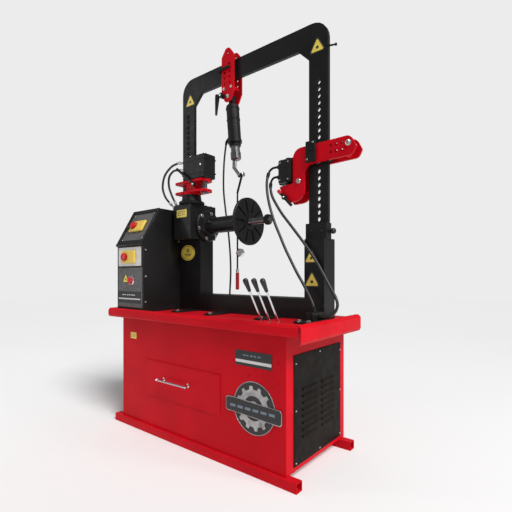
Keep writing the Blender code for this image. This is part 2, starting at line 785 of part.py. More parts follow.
def build_spindle():
    axis_point = (DISC_X[0], SPINDLE_Y, SPINDLE_Z)

    def along(profile, sides, x):
        return turned(profile, sides, aim((x, SPINDLE_Y, SPINDLE_Z), (1, 0, 0)))

    shaft_in = -0.270
    start = FLANGE_X[1] - 0.004 - shaft_in
    tube = [
        (0, 0), (0.025, 0), (0.025, start), (TUBE_R, start), (TUBE_R, DISC_X[0] - GAP - shaft_in),
        (0, DISC_X[0] - GAP - shaft_in),
    ]
    add("spindle_tube", along(tube, 24, shaft_in), "black_paint", axis_point)
    thick = DISC_X[1] - DISC_X[0]
    plate = [
        (0.0185, 0), (0.055, 0), (0.058, 0.010), (DISC_R - 0.004, 0.014), (DISC_R, 0.018),
        (DISC_R, thick - 0.002), (DISC_R - 0.003, thick), (0.0185, thick),
    ]
    disc = add("faceplate", along(plate, 48, DISC_X[0]), "black_paint", axis_point)
    slots = []
    for k in range(FACE_SLOTS):
        turn = math.tau * k / FACE_SLOTS
        radial = Vector((0, math.cos(turn), math.sin(turn)))
        across = Vector((0, -math.sin(turn), math.cos(turn))) * 0.0045
        middle = Vector((0, SPINDLE_Y, SPINDLE_Z))
        corners = [
            middle + radial * r + across * s
            for r, s in ((0.045, -1), (0.112, -1), (0.112, 1), (0.045, 1))
        ]
        outline = [(c.y, c.z) for c in corners]
        slots.append(prism([outline], "X", DISC_X[1] - 0.008, DISC_X[1] + 0.01))
    cut(disc, *slots)
    screw = [
        (0, 0), (SCREW_R, 0), (SCREW_R, SCREW_END - DISC_X[0] - 0.003),
        (SCREW_R - 0.003, SCREW_END - DISC_X[0]), (0, SCREW_END - DISC_X[0]),
    ]
    add("spindle_screw", along(screw, 18, DISC_X[0]), "steel", axis_point)
    nut_x = SCREW_END - 0.034
    nut = [
        (SCREW_R + 0.0004, 0), (0.024, 0), (0.026, 0.003), (0.026, 0.021), (0.024, 0.024),
        (SCREW_R + 0.0004, 0.024),
    ]
    add("clamp_nut", along(nut, 18, nut_x), "black_paint", (nut_x, SPINDLE_Y, SPINDLE_Z))


FACE_SLOTS = 10

# ---- Left arm, on its swivel -----------------------------------------------------------------
SWIVEL = (-0.245, -0.020)
LEFT_PLATES = ((1.2975, 1.3095), (1.3545, 1.3665))
LEFT_RAM = (-0.150, -0.012)


def build_left_arm():
    x0, x1 = -0.352, -0.112
    y0, y1 = -0.060, 0.034
    outline = rounded([(x0, y0, 0.018), (x1, y0, 0.040), (x1, y1, 0.040), (x0, y1, 0.018)], 3)
    low, high = LEFT_PLATES
    fork = add("left_arm_fork", prism([outline], "Z", *low), "red_paint")
    weld(fork, block((-0.262, -0.190), (-0.046, 0.020), (low[0] + 0.002, high[1] - 0.002)))
    weld(fork, prism([outline], "Z", *high))
    weld(fork, rod(0.050, (*SWIVEL, 1.2875 + GAP), (*SWIVEL, low[0] + 0.004), 20))
    cut(fork, rod(0.0175, (*LEFT_RAM, 1.28), (*LEFT_RAM, 1.40), 16))
    top = high[1] + GAP
    body = add(
        "left_cylinder", block((-0.285, -0.105), (-0.056, 0.032), (top, 1.500), bevel=0.006),
        "black_paint",
    )
    weld(body, rod(0.014, (-0.262, -0.012, 1.495), (-0.262, -0.012, 1.513), 12))
    cut(body, rod(0.0160, (*LEFT_RAM, top - 0.01), (*LEFT_RAM, 1.472), 18))
    ram = [(0, 0), (0.012, 0), (0.0150, 0.004), (0.0150, 0.170), (0, 0.170)]
    at = (*LEFT_RAM, 1.290)
    add("left_ram", turned(ram, 16, aim(at, (0, 0, 1))), "steel", at)
    pivot = Vector((-0.175, -0.060 - GAP, 1.335))
    add_lock_lever("left_lock_lever", pivot, Vector((-0.140, 0, 0.106)), 0.0)


LOCK_BAR_R = 0.0075


def add_lock_lever(name, pivot, reach, back):
    """A bar on a boss that turns about Y; the bar may also run back past the boss."""
    front = pivot + Vector((0, -0.016, 0))
    boss = add(name, rod(0.012, pivot, front, 14), "black_paint", pivot)
    middle = pivot + Vector((0, -0.009, 0))
    weld(boss, rod(LOCK_BAR_R, middle - reach * back, middle + reach, 10))


# ---- Right arm, on its column ----------------------------------------------------------------
RIGHT_PLATES = ((0.018, 0.030), (0.080, 0.092))
ARM_TOP = 1.434
ARM_CORNER = 0.730
RIGHT_RAM = (0.366, 0.055)


def build_right_arm():
    outline = rounded(
        [
            (0.414, ARM_TOP - 0.006, 0.045),
            (0.704, ARM_TOP, 0.030),
            (ARM_CORNER, 1.382, 0.012),
            (0.713, 1.349, 0.024),
            (0.478, 1.343, 0.040),
            (0.476, 1.184, 0.050),
            (0.380, 1.180, 0.006),
            (0.336, 1.262, 0.006),
            (0.414, 1.268, 0.004),
        ],
        4,
    )
    holes = [(0.695, 1.403, 0.011)]
    holes += [(x, z, 0.008) for x in (0.611, 0.637, 0.663) for z in (1.378, 1.407)]
    rings = [ring_points((x, z), r, 10) for x, z, r in holes]
    near, far = RIGHT_PLATES
    arm = add("right_arm_plates", prism([outline, *rings], "Y", *near), "red_paint")
    weld(arm, prism([outline, *rings], "Y", *far))
    spacer = (near[1] - 0.006, far[0] + 0.006)
    for x, z in ((0.438, 1.232), (0.438, 1.385), (0.622, 1.3925 - 0.034 + 0.008), (0.676, 1.362)):
        weld(arm, rod(0.010, (x, spacer[0], z), (x, spacer[1], z), 12))
    # A clamp block rides on the column between the plates' cheeks.
    slack = 0.0008
    clamp = add(
        "right_clamp_block", block((0.4755, 0.5955), (near[1] + GAP, far[0] - GAP), (1.352, 1.428)),
        "black_paint",
    )
    cut(
        clamp,
        block(
            (LEG_RIGHT_X[0] - slack, LEG_RIGHT_X[1] + slack),
            (PLATE_Y[0] - slack, PLATE_Y[1] + slack), (1.30, 1.50),
        ),
    )
    strap = add(
        "right_clamp_strap",
        block((0.489, 0.541), (near[0] - 0.012, near[0] - GAP), (1.350, 1.445), bevel=0.002),
        "black_paint",
    )
    weld(strap, rod(0.008, (0.515, near[0] - 0.022, 1.405), (0.515, near[0] - 0.010, 1.405), 10))
    body = add(
        "right_cylinder",
        block((0.323, 0.409), (near[1] + 0.001, far[0] - 0.001), (1.275, 1.397), bevel=0.004),
        "black_paint",
    )
    weld(body, block((0.338, 0.4085), (0.0050, 0.050), (1.2775, 1.385), bevel=0.003))
    cut(body, rod(0.0150, (*RIGHT_RAM, 1.26), (*RIGHT_RAM, 1.375), 18))
    at = (*RIGHT_RAM, 1.222)
    ram = [(0, 0), (0.012, 0), (0.0140, 0.003), (0.0140, 0.145), (0, 0.145)]
    add("right_ram", turned(ram, 16, aim(at, (0, 0, 1))), "steel", at)
    pivot = Vector((0.372, near[0] - GAP, 1.206))
    add_lock_lever("right_lock_lever", pivot, Vector((0.040, 0, -0.042)), 0.85)


# ---- Top unit, hanging from the portal's beam ------------------------------------------------
TOP_X = -0.005
TOP_PIN_Z = 1.800
TOP_TILT = math.radians(5)


def build_top_unit():
    half = 0.043
    top_z, low_z = 2.060, 1.772
    outline = rounded(
        [
            (TOP_X - half, 2.018, 0.012),
            (TOP_X - 0.012, top_z, 0.012),
            (TOP_X + 0.012, top_z, 0.012),
            (TOP_X + half, 2.018, 0.012),
            (TOP_X + half, 1.822, 0.012),
            (TOP_X + 0.018, low_z, 0.014),
            (TOP_X - 0.018, low_z, 0.014),
            (TOP_X - half, 1.822, 0.012),
        ],
        2,
    )
    holes = [(TOP_X, 2.034), (TOP_X + 0.012, 1.972)]
    holes += [(TOP_X + dx, z) for dx in (-0.020, 0.014) for z in (1.872, 1.902, 1.932)]
    rings = [ring_points((x, z), 0.0075, 8) for x, z in holes]
    near, far = (0.018, 0.028), (0.082, 0.092)
    plates = add("top_bracket_plates", prism([outline, *rings], "Y", *near), "red_paint")
    weld(plates, prism([outline, *rings], "Y", *far))
    # A roller over the beam and a pin under it hold the two plates together.
    weld(
        plates,
        rod(
            0.011, (TOP_X + 0.004, 0.022, PORTAL_TOP + 0.0125),
            (TOP_X + 0.004, 0.088, PORTAL_TOP + 0.0125), 12,
        ),
    )
    for x in (TOP_X - 0.026, TOP_X + 0.026):
        weld(plates, rod(0.008, (x, 0.022, 1.8455), (x, 0.088, 1.8455), 12))
    weld(plates, rod(0.0075, (TOP_X, 0.022, TOP_PIN_Z), (TOP_X, 0.088, TOP_PIN_Z), 14))

    # The clamp's U-shaped clip lies over the near plate and hooks on the beam.
    clip = add(
        "top_clamp_clip",
        block((TOP_X - 0.062, TOP_X + 0.020), (0.004, near[0] - GAP), (1.946, 1.958), bevel=0.002),
        "black_paint",
    )
    weld(clip, block((TOP_X - 0.062, TOP_X - half - 0.001), (0.006, 0.044), (1.944, 1.960)))
    pivot = Vector((TOP_X - 0.030, near[0] - GAP, 1.806))
    handle = add(
        "top_clamp_handle", rod(0.014, pivot, pivot + Vector((0, -0.024, 0)), 14), "black_paint",
        pivot,
    )
    low = pivot + Vector((-0.030, -0.014, 0.004))
    taper = [(0, 0), (0.006, 0), (0.013, 0.095), (0.012, 0.108), (0, 0.110)]
    weld(handle, rod(0.010, pivot + Vector((0.006, -0.014, 0)), low + Vector((-0.004, 0, 0)), 12))
    weld(handle, turned(taper, 12, aim(low + Vector((-0.010, 0, -0.100)), (0.09, 0, 1))))

    down = Vector((math.sin(TOP_TILT), 0, -math.cos(TOP_TILT)))
    pin = Vector((TOP_X, 0.055, TOP_PIN_Z))
    profile = [
        (0, 0.040), (0.030, 0.040), (0.035, 0.046), (0.035, 0.232), (
            0.0385, 0.234,
        ), (0.0385, 0.250),
        (0.031, 0.252), (0.031, 0.268), (0.0255, 0.268), (0.0255, 0.075), (0, 0.075),
    ]
    cylinder = add("top_cylinder", turned(profile, 20, aim(pin, down)), "black_paint", pin)
    lug = rod(0.019, pin - Vector((0, 0.016, 0)), pin + Vector((0, 0.016, 0)), 16)
    weld(cylinder, lug)
    neck = block(
        (TOP_X - 0.013, TOP_X + 0.013), (0.055 - 0.012, 0.055 + 0.012),
        (TOP_PIN_Z - 0.055, TOP_PIN_Z - 0.010),
    )
    weld(cylinder, neck)
    cut(cylinder, rod(0.0079, pin - Vector((0, 0.03, 0)), pin + Vector((0, 0.03, 0)), 16))

    profile = [
        (0, 0.120), (0.0245, 0.120), (0.0245, 0.300), (0.028, 0.302), (0.028, 0.338),
        (0.020, 0.344), (0, 0.344),
    ]
    ram = add("top_ram", turned(profile, 16, aim(pin, down)), "steel", pin + down * 0.300)
    tip = pin + down * 0.335
    weld(ram, rod(0.011, tip + Vector((-0.010, 0, 0.006)), tip + Vector((-0.012, 0, -0.052)), 10))
    weld(ram, rod(0.009, tip + Vector((-0.016, 0, -0.044)), tip + Vector((0.020, 0, -0.088)), 10))
    return tip


def build_gauge(tip):
    """The gauge rod hangs from the ram's claw, behind the spindle, with a dial and a red grip."""
    pivot = tip + Vector((0.018, 0.022, -0.086))
    gauge = add(
        "gauge_rod", rod(0.011, pivot - Vector((0.015, 0, 0)), pivot + Vector((0.015, 0, 0)), 12),
        "black_paint", pivot,
    )
    back = Vector((-0.040, 0.140, 1.300))
    foot = Vector((-0.040, 0.140, 0.850))
    weld(gauge, rod(0.0065, pivot + Vector((0, 0.004, -0.006)), back + Vector((0, 0, 0.004)), 8))
    weld(gauge, rod(0.0048, back + Vector((0, 0, 0.006)), foot, 8))
    dial = Vector((-0.018, 0.140, 0.962))
    weld(gauge, rod(0.022, dial - Vector((0, 0.006, 0)), dial + Vector((0, 0.008, 0)), 16))
    profile = [(0, 0), (0.008, 0), (0.0105, 0.004), (0.0105, 0.092), (0.008, 0.096), (0, 0.096)]
    add(
        "gauge_grip", turned(profile, 12, aim(foot - Vector((0, 0, GAP)), (0, 0, -1))),
        "red_plastic",
    )


# ---- Hoses -----------------------------------------------------------------------------------
HOSE_R = 0.0065
TOP_HOSE_R = 0.0050
HOSE_GAP = 0.0012  # a hose's square end stands off its port, which it meets at a slight angle


def build_hoses():
    floor = FLOOR_TOP + HOSE_GAP
    side = 0.323 - HOSE_GAP
    hose(
        "right_hose_upper",
        [
            (side, 0.040, 1.366), (0.314, 0.040, 1.366), (
                0.302, 0.040, 1.3675,
            ), (0.283, 0.036, 1.3650), (0.270, 0.028, 1.350),
            (0.268, 0.016, 1.322), (0.274, 0.000, 1.282), (
                0.288, -0.012, 1.225,
            ), (0.308, -0.018, 1.160),
            (
                0.338, -0.022, 1.085,
            ), (0.368, -0.022, 1.022), (0.398, -0.022, 0.960), (0.430, -0.022, 0.903),
            (
                0.462, -0.024, 0.850,
            ), (0.500, -0.028, 0.796), (0.534, -0.036, 0.748), (0.558, -0.043, 0.710),
            (0.565, -0.045, JUNCTION_TOP + HOSE_GAP),
        ],
        HOSE_R,
    )
    hose(
        "right_hose_lower",
        [
            (side, 0.040, 1.316), (
                0.314, 0.040, 1.316,
            ), (0.303, 0.039, 1.319), (0.288, 0.034, 1.314), (0.281, 0.026, 1.294),
            (0.287, 0.014, 1.262), (0.303, 0.004, 1.222), (
                0.330, -0.002, 1.180,
            ), (0.368, -0.006, 1.128),
            (
                0.410, -0.008, 1.079,
            ), (0.452, -0.009, 1.030), (0.494, -0.010, 0.980), (0.534, -0.010, 0.928),
            (0.572, -0.010, 0.872), (0.606, -0.010, 0.815), (0.634, -0.013, 0.771), (
                0.6567, -0.018, 0.7364,
            ),
            (0.665, -0.022, 0.708), (
                0.6579, -0.027, 0.6815,
            ), (0.6385, -0.032, 0.6621), (0.612, -0.037, 0.655),
            (JUNCTION_X[1] + HOSE_GAP, -0.040, 0.655),
        ],
        HOSE_R,
    )
    side = -0.285 - HOSE_GAP
    top = HEAD_TOP + HOSE_GAP
    hose(
        "left_hose_upper",
        [
            (side, -0.012, 1.486), (
                -0.318, -0.012, 1.488,
            ), (-0.372, -0.012, 1.496), (-0.440, -0.010, 1.486),
            (
                -0.506, -0.006, 1.444,
            ), (-0.536, 0.002, 1.380), (-0.524, 0.012, 1.322), (-0.488, 0.020, 1.278),
            (-0.462, 0.026, 1.250), (-0.462, 0.026, top),
        ],
        HOSE_R,
    )
    hose(
        "left_hose_lower",
        [
            (side, -0.012, 1.440), (
                -0.318, -0.013, 1.442,
            ), (-0.366, -0.015, 1.454), (-0.414, -0.014, 1.456),
            (
                -0.460, -0.008, 1.430,
            ), (-0.476, 0.002, 1.380), (-0.462, 0.014, 1.320), (-0.434, 0.022, 1.268),
            (-0.420, 0.026, 1.250), (-0.420, 0.026, top),
        ],
        HOSE_R,
    )
    hose(
        "top_hose",
        [
            (
                -0.0225 - HOSE_GAP, 0.058, 1.586,
            ), (-0.044, 0.060, 1.585), (-0.072, 0.076, 1.550), (-0.100, 0.092, 1.460),
            (
                -0.118, 0.108, 1.330,
            ), (-0.110, 0.116, 1.210), (-0.092, 0.119, 1.090), (-0.078, 0.120, 0.960),
            (
                -0.074, 0.120, 0.850,
            ), (-0.080, 0.120, 0.740), (-0.082, 0.120, 0.670), (-0.082, 0.120, floor),
        ],
        TOP_HOSE_R,
    )


build_skids()
build_cabinet()
build_tray()
build_drawer()
build_hydraulics()
build_lower_frame()
build_portal()
build_casing()
build_drive()
build_gearbox()
build_spindle()
build_left_arm()
build_right_arm()
build_gauge(build_top_unit())
build_hoses()
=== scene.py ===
"""The looks of a hydraulic rim-straightening machine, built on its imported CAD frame.

Metres. Places are given in the cabinet's own frame, whose origin is on the floor under the
cabinet's centre line, with X to the right, Y to the rear and Z up. place() moves them to the frame.
"""

import json
import math

import bmesh
import bpy
from mathutils import Matrix, Vector


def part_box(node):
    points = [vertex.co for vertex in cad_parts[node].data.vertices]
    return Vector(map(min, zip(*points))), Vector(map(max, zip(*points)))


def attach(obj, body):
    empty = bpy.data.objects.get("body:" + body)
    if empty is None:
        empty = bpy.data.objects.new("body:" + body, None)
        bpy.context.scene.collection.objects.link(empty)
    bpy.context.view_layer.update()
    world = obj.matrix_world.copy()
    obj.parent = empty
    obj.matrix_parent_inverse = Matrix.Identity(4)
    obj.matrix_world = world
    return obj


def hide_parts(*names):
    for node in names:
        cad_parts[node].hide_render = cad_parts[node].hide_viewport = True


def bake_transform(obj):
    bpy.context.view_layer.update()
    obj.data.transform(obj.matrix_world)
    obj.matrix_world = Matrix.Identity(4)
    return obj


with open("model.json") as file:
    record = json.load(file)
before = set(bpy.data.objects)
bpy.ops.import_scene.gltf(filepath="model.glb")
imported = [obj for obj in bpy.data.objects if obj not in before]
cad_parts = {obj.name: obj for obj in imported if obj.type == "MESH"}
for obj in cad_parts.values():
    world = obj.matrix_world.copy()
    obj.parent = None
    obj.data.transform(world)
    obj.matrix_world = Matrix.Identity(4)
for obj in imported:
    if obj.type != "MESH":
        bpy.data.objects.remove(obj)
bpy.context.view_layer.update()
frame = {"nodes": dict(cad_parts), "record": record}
NODES = frame["nodes"]

# ---- The cabinet's frame ----
CAB_FRONT = -0.256
CAB_REAR = 0.249
CAB_HALF = 0.5625
PANEL_LIFT = 0.0035  # how far the side and rear panels' faces stand out
DRAWER_FACE = CAB_FRONT - 0.0043
HANDLE = (-0.290, 0.302)  # Y and Z of the drawer handle's bar
shell_low, shell_high = (Vector(corner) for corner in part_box("cabinet_shell"))
ORIGIN = Vector(((shell_low.x + shell_high.x) / 2, shell_low.y - CAB_FRONT, 0.0))
GAP = 0.0002  # how far a label or a washer stands off the face it lies on
TO_FRONT, TO_REAR, TO_LEFT, TO_RIGHT, UP = (0, -1, 0), (0, 1, 0), (-1, 0, 0), (1, 0, 0), (0, 0, 1)

FLOOR_TOP = 0.6333  # the tray's floor
HEAD_X = (-0.630, -0.377)  # the headstock's casing
HEAD_FRONT = -0.250
HEAD_KNEE_Z = 1.010
HEAD_CROWN_Y = -0.133
HEAD_TOP = 1.215
SPINDLE = (0.055, 1.118)  # Y and Z of the spindle's axis
PORTAL_FACE = 0.045
SOCKET_FACE = 0.005
COLLAR_FACE = 0.022
PLATES = (0.018, 0.092)  # outer faces, in Y, of the red plates of the right arm and the top bracket
HOUSING_TOP = 1.235 + GAP  # the gearbox's
FORK_TOP = 1.3665 + GAP  # the left arm's upper plate
LEFT_CYLINDER_TOP = 1.500
LEVER_X = (0.4290, 0.4720, 0.5150)
LEVER_FOOT = (-0.2155, 0.606)  # Y and Z of the valve levers' pivots
LEVER_LEAN = math.radians(32)


def place(x, y, z):
    return ORIGIN + Vector((x, y, z))


def add_object(name, data):
    made = bpy.data.objects.new(name, data)
    bpy.context.scene.collection.objects.link(made)
    return made


# ---- Camera ----
CAMERA_AT = (1.42, -1.52, 0.837)
CAMERA_TURN = math.radians(38.6)
LENS_MM = 27.3
LENS_SHIFT = 0.037
lens = bpy.data.cameras.new("camera")
lens.sensor_width = 36.0
lens.lens = LENS_MM
lens.shift_y = LENS_SHIFT
camera = add_object("camera", lens)
camera.location = place(*CAMERA_AT)
camera.rotation_euler = (math.radians(90), 0.0, CAMERA_TURN)
bpy.context.scene.camera = camera
bpy.context.scene.view_settings.view_transform = "Standard"


# ---- Materials ----
def new_material(name):
    made = bpy.data.materials.new(name)
    made.use_nodes = True
    return made, made.node_tree, made.node_tree.nodes["Principled BSDF"]


def node(tree, kind, **settings):
    """A shader node; a setting sets an attribute, or an input if it names one."""
    made = tree.nodes.new(kind)
    for key, value in settings.items():
        if hasattr(made, key):
            setattr(made, key, value)
        else:
            made.inputs[key.replace("_", " ")].default_value = value
    return made


def noise(tree, coordinates, scale, detail=3.0, stretch=(1, 1, 1)):
    mapping = node(tree, "ShaderNodeMapping", Scale=stretch)
    tree.links.new(coordinates, mapping.inputs["Vector"])
    made = node(tree, "ShaderNodeTexNoise", Scale=scale, Detail=detail)
    tree.links.new(mapping.outputs["Vector"], made.inputs["Vector"])
    return made.outputs["Fac"]


def remap(tree, value, low, high, to_low, to_high):
    made = node(tree, "ShaderNodeMapRange")
    for key, number in zip(("From Min", "From Max", "To Min", "To Max"), (low, high, to_low, to_high)):
        made.inputs[key].default_value = number
    tree.links.new(value, made.inputs["Value"])
    return made.outputs["Result"]


def maths(tree, operation, first, second):
    made = node(tree, "ShaderNodeMath", operation=operation)
    for socket, value in zip(made.inputs, (first, second)):
        if isinstance(value, (int, float)):
            socket.default_value = value
        else:
            tree.links.new(value, socket)
    return made.outputs["Value"]


def mixed(tree, factor, first, second):
    made = node(tree, "ShaderNodeMix", data_type="RGBA")
    tree.links.new(factor, made.inputs["Factor"])
    for socket, value in ((made.inputs[6], first), (made.inputs[7], second)):
        if isinstance(value, tuple):
            socket.default_value = (*value, 1.0)
        else:
            tree.links.new(value, socket)
    return made.outputs[2]


def set_bump(tree, shader, height, strength, distance):
    bump = node(tree, "ShaderNodeBump", Strength=strength, Distance=distance)
    tree.links.new(height, bump.inputs["Height"])
    tree.links.new(bump.outputs["Normal"], shader.inputs["Normal"])


def surface(
    name, colour, second, rough=(0.3, 0.4), metallic=0.0, coat=0.0, gloss=0.5, patches=4.0, grain=300.0,
    relief=0.05, stretch=(1, 1, 1), dust=0.0, wear=None,
):
    """A finish whose colour and gloss vary in patches, with a fine relief.

    dust greys the faces that look up. wear is the colour that shows through at sharp edges.
    """
    made, tree, shader = new_material(name)
    coordinates = node(tree, "ShaderNodeTexCoord").outputs["Object"]
    broad = noise(tree, coordinates, patches, 5.0)
    fine = noise(tree, coordinates, grain, 2.0, stretch)
    tone = mixed(tree, remap(tree, broad, 0.32, 0.68, 0.0, 1.0), colour, second)
    if dust:
        up = node(tree, "ShaderNodeSeparateXYZ")
        tree.links.new(node(tree, "ShaderNodeNewGeometry").outputs["Normal"], up.inputs["Vector"])
        facing = remap(tree, up.outputs["Z"], 0.6, 1.0, 0.0, dust)
        settled = remap(tree, noise(tree, coordinates, 14.0, 6.0), 0.35, 0.75, 0.2, 1.0)
        tone = mixed(tree, maths(tree, "MULTIPLY", facing, settled), tone, (0.30, 0.27, 0.24))
    if wear:
        soft = node(tree, "ShaderNodeBevel", samples=4, Radius=0.0012)
        sharp = node(tree, "ShaderNodeVectorMath", operation="DOT_PRODUCT")
        tree.links.new(soft.outputs["Normal"], sharp.inputs[0])
        tree.links.new(node(tree, "ShaderNodeNewGeometry").outputs["Normal"], sharp.inputs[1])
        edge = remap(tree, sharp.outputs["Value"], 0.995, 0.90, 0.0, 1.0)
        chips = remap(tree, noise(tree, coordinates, 45.0, 6.0), 0.54, 0.62, 0.0, 0.75)
        tone = mixed(tree, maths(tree, "MULTIPLY", edge, chips), tone, wear)
    tree.links.new(tone, shader.inputs["Base Color"])
    smudges = noise(tree, coordinates, patches * 6, 5.0)
    tree.links.new(remap(tree, smudges, 0.3, 0.7, *rough), shader.inputs["Roughness"])
    set_bump(tree, shader, fine, relief, 0.001)
    shader.inputs["Metallic"].default_value = metallic
    shader.inputs["Coat Weight"].default_value = coat
    shader.inputs["Specular IOR Level"].default_value = gloss
    shader.inputs["Coat Roughness"].default_value = 0.08
    return made


def hose_finish():
    """Black hose cover with the fine crossed print of its wrapping; it follows the tube's own map."""
    made, tree, shader = new_material("hose_cover")
    along = node(tree, "ShaderNodeUVMap", uv_map="route")
    parts = node(tree, "ShaderNodeSeparateXYZ")
    tree.links.new(along.outputs["UV"], parts.inputs["Vector"])
    waves = []
    for turns in (6.0, -6.0):
        turning = maths(tree, "MULTIPLY", parts.outputs["X"], turns * math.tau)
        running = maths(tree, "MULTIPLY", parts.outputs["Y"], 180.0 * math.tau)
        waves.append(maths(tree, "SINE", maths(tree, "ADD", turning, running), 0.0))
    weave = maths(tree, "MAXIMUM", *waves)
    coordinates = node(tree, "ShaderNodeTexCoord").outputs["Object"]
    broad = noise(tree, coordinates, 18.0, 4.0)
    tree.links.new(
        mixed(tree, broad, (0.010, 0.010, 0.011), (0.022, 0.021, 0.020)), shader.inputs["Base Color"],
    )
    tree.links.new(remap(tree, broad, 0.3, 0.7, 0.34, 0.50), shader.inputs["Roughness"])
    set_bump(tree, shader, weave, 0.25, 0.0005)
    return made


RED = (0.62, 0.0025, 0.012)
RED_DEEP = (0.50, 0.0018, 0.009)
FINISH = {
    "red_paint": surface(
        "red_enamel", RED, RED_DEEP, rough=(0.38, 0.50), coat=0.02, gloss=0.08, grain=220.0, relief=0.03,
        dust=0.03, wear=(0.30, 0.02, 0.02),
    ),
    "black_paint": surface(
        "black_enamel", (0.006, 0.006, 0.0065), (0.011, 0.0105, 0.0105), rough=(0.34, 0.48), coat=0.03,
        gloss=0.22, grain=420.0, relief=0.07, dust=0.02, wear=(0.09, 0.085, 0.08),
    ),
    "black_panel": surface(
        "black_textured_panel", (0.006, 0.0045, 0.0035), (0.011, 0.008, 0.006), rough=(0.42, 0.60),
        gloss=0.08, grain=650.0, relief=0.22,
    ),
    "grey_panel": surface(
        "grey_hammered_panel", (0.085, 0.083, 0.084), (0.15, 0.147, 0.147), rough=(0.32, 0.50),
        metallic=0.25, patches=60.0, grain=500.0, relief=0.16,
    ),
    "steel": surface(
        "turned_steel", (0.24, 0.24, 0.245), (0.16, 0.16, 0.165), rough=(0.22, 0.38), metallic=1.0,
        patches=12.0, grain=160.0, relief=0.08, stretch=(1, 1, 12),
    ),
    "chrome": surface(
        "chrome_plate", (0.82, 0.82, 0.84), (0.72, 0.72, 0.75), rough=(0.07, 0.16), metallic=1.0,
        patches=20.0, grain=900.0, relief=0.01,
    ),
    "black_plastic": surface(
        "black_moulded_plastic", (0.009, 0.009, 0.010), (0.014, 0.014, 0.014), rough=(0.28, 0.40),
        grain=900.0, relief=0.08,
    ),
    "red_plastic": surface(
        "red_moulded_plastic", (0.60, 0.006, 0.016), (0.52, 0.005, 0.012), rough=(0.22, 0.32),
        coat=0.2, patches=25.0, grain=900.0, relief=0.03,
    ),
    "yellow_plastic": surface(
        "yellow_moulded_plastic", (0.82, 0.58, 0.10), (0.76, 0.52, 0.08), rough=(0.26, 0.36),
        patches=25.0, grain=900.0, relief=0.03,
    ),
    "hose_rubber": hose_finish(),
    "belt_rubber": surface(
        "belt_rubber", (0.014, 0.014, 0.014), (0.022, 0.022, 0.022), rough=(0.65, 0.85),
        grain=260.0, relief=0.3,
    ),
}
BLACK = FINISH["black_paint"]
PLASTIC = FINISH["black_plastic"]
CHROME = FINISH["chrome"]
ENAMEL = FINISH["red_paint"]
ZINC = surface(
    "zinc_plated_steel", (0.66, 0.66, 0.65), (0.56, 0.55, 0.52), rough=(0.20, 0.34), metallic=1.0,
    patches=70.0, grain=700.0, relief=0.05,
)
LABEL_YELLOW = surface(
    "yellow_label", (0.83, 0.66, 0.10), (0.78, 0.60, 0.09), rough=(0.30, 0.42), patches=30.0,
    grain=500.0, relief=0.02,
)
LABEL_PALE = surface(
    "pale_label", (0.72, 0.71, 0.70), (0.62, 0.61, 0.60), rough=(0.30, 0.45), patches=40.0,
    grain=500.0, relief=0.03,
)
PRINT_DARK = surface(
    "dark_print", (0.035, 0.028, 0.022), (0.06, 0.05, 0.04), rough=(0.35, 0.5), patches=60.0,
    grain=500.0, relief=0.02,
)
PRINT_BLUE = surface(
    "blue_grey_print", (0.13, 0.19, 0.24), (0.17, 0.22, 0.27), rough=(0.35, 0.5), patches=60.0,
    grain=500.0, relief=0.02,
)
BADGE_METAL = surface(
    "brushed_badge_metal", (0.50, 0.50, 0.50), (0.24, 0.24, 0.24), rough=(0.26, 0.40), metallic=1.0,
    patches=22.0, grain=300.0, relief=0.06, stretch=(14, 1, 1),
)
FLOOR = surface(
    "studio_floor", (0.86, 0.86, 0.86), (0.85, 0.85, 0.85), rough=(0.85, 0.95), patches=0.6,
    gloss=0.0, grain=40.0, relief=0.01,
)


def repaint(cad_node, finish):
    for slot in NODES[cad_node].material_slots:
        slot.link = "OBJECT"
        slot.material = finish


for row in frame["record"]["subparts"]:
    if row["node"] in NODES and row["material_slot"] in FINISH:
        repaint(row["node"], FINISH[row["material_slot"]])


# ---- Mesh helpers ----
def around(centre, radius, turn):
    return (centre[0] + radius * math.cos(turn), centre[1] + radius * math.sin(turn))


def ring_points(centre, radius, count):
    return [around(centre, radius, math.tau * k / count) for k in range(count)]


def spot(axis, first, second, along):
    """A point from two coordinates across an axis and one along it."""
    return {"X": (along, first, second), "Y": (first, along, second), "Z": (first, second, along)}[axis]


def prism(outlines, axis, start, end):
    """Outlines, the first one outside and any others its holes, pushed out along an axis."""
    bm = bmesh.new()
    rims = [[bm.verts.new(spot(axis, a, b, start)) for a, b in outline] for outline in outlines]
    edges = [bm.edges.new((rim[k - 1], rim[k])) for rim in rims for k in range(len(rim))]
    if len(outlines) == 1:
        bm.faces.new(rims[0])
    else:
        bmesh.ops.triangle_fill(bm, use_beauty=True, use_dissolve=False, edges=edges)
    pushed = bmesh.ops.extrude_face_region(bm, geom=list(bm.faces))["geom"]
    moved = [part for part in pushed if isinstance(part, bmesh.types.BMVert)]
    bmesh.ops.translate(bm, verts=moved, vec=Vector(spot(axis, 0, 0, end - start)))
    return bm


def rectangle(x, y):
    return [(x[0], y[0]), (x[1], y[0]), (x[1], y[1]), (x[0], y[1])]


def block(x, y, z):
    return prism([rectangle(x, y)], "Z", *z)


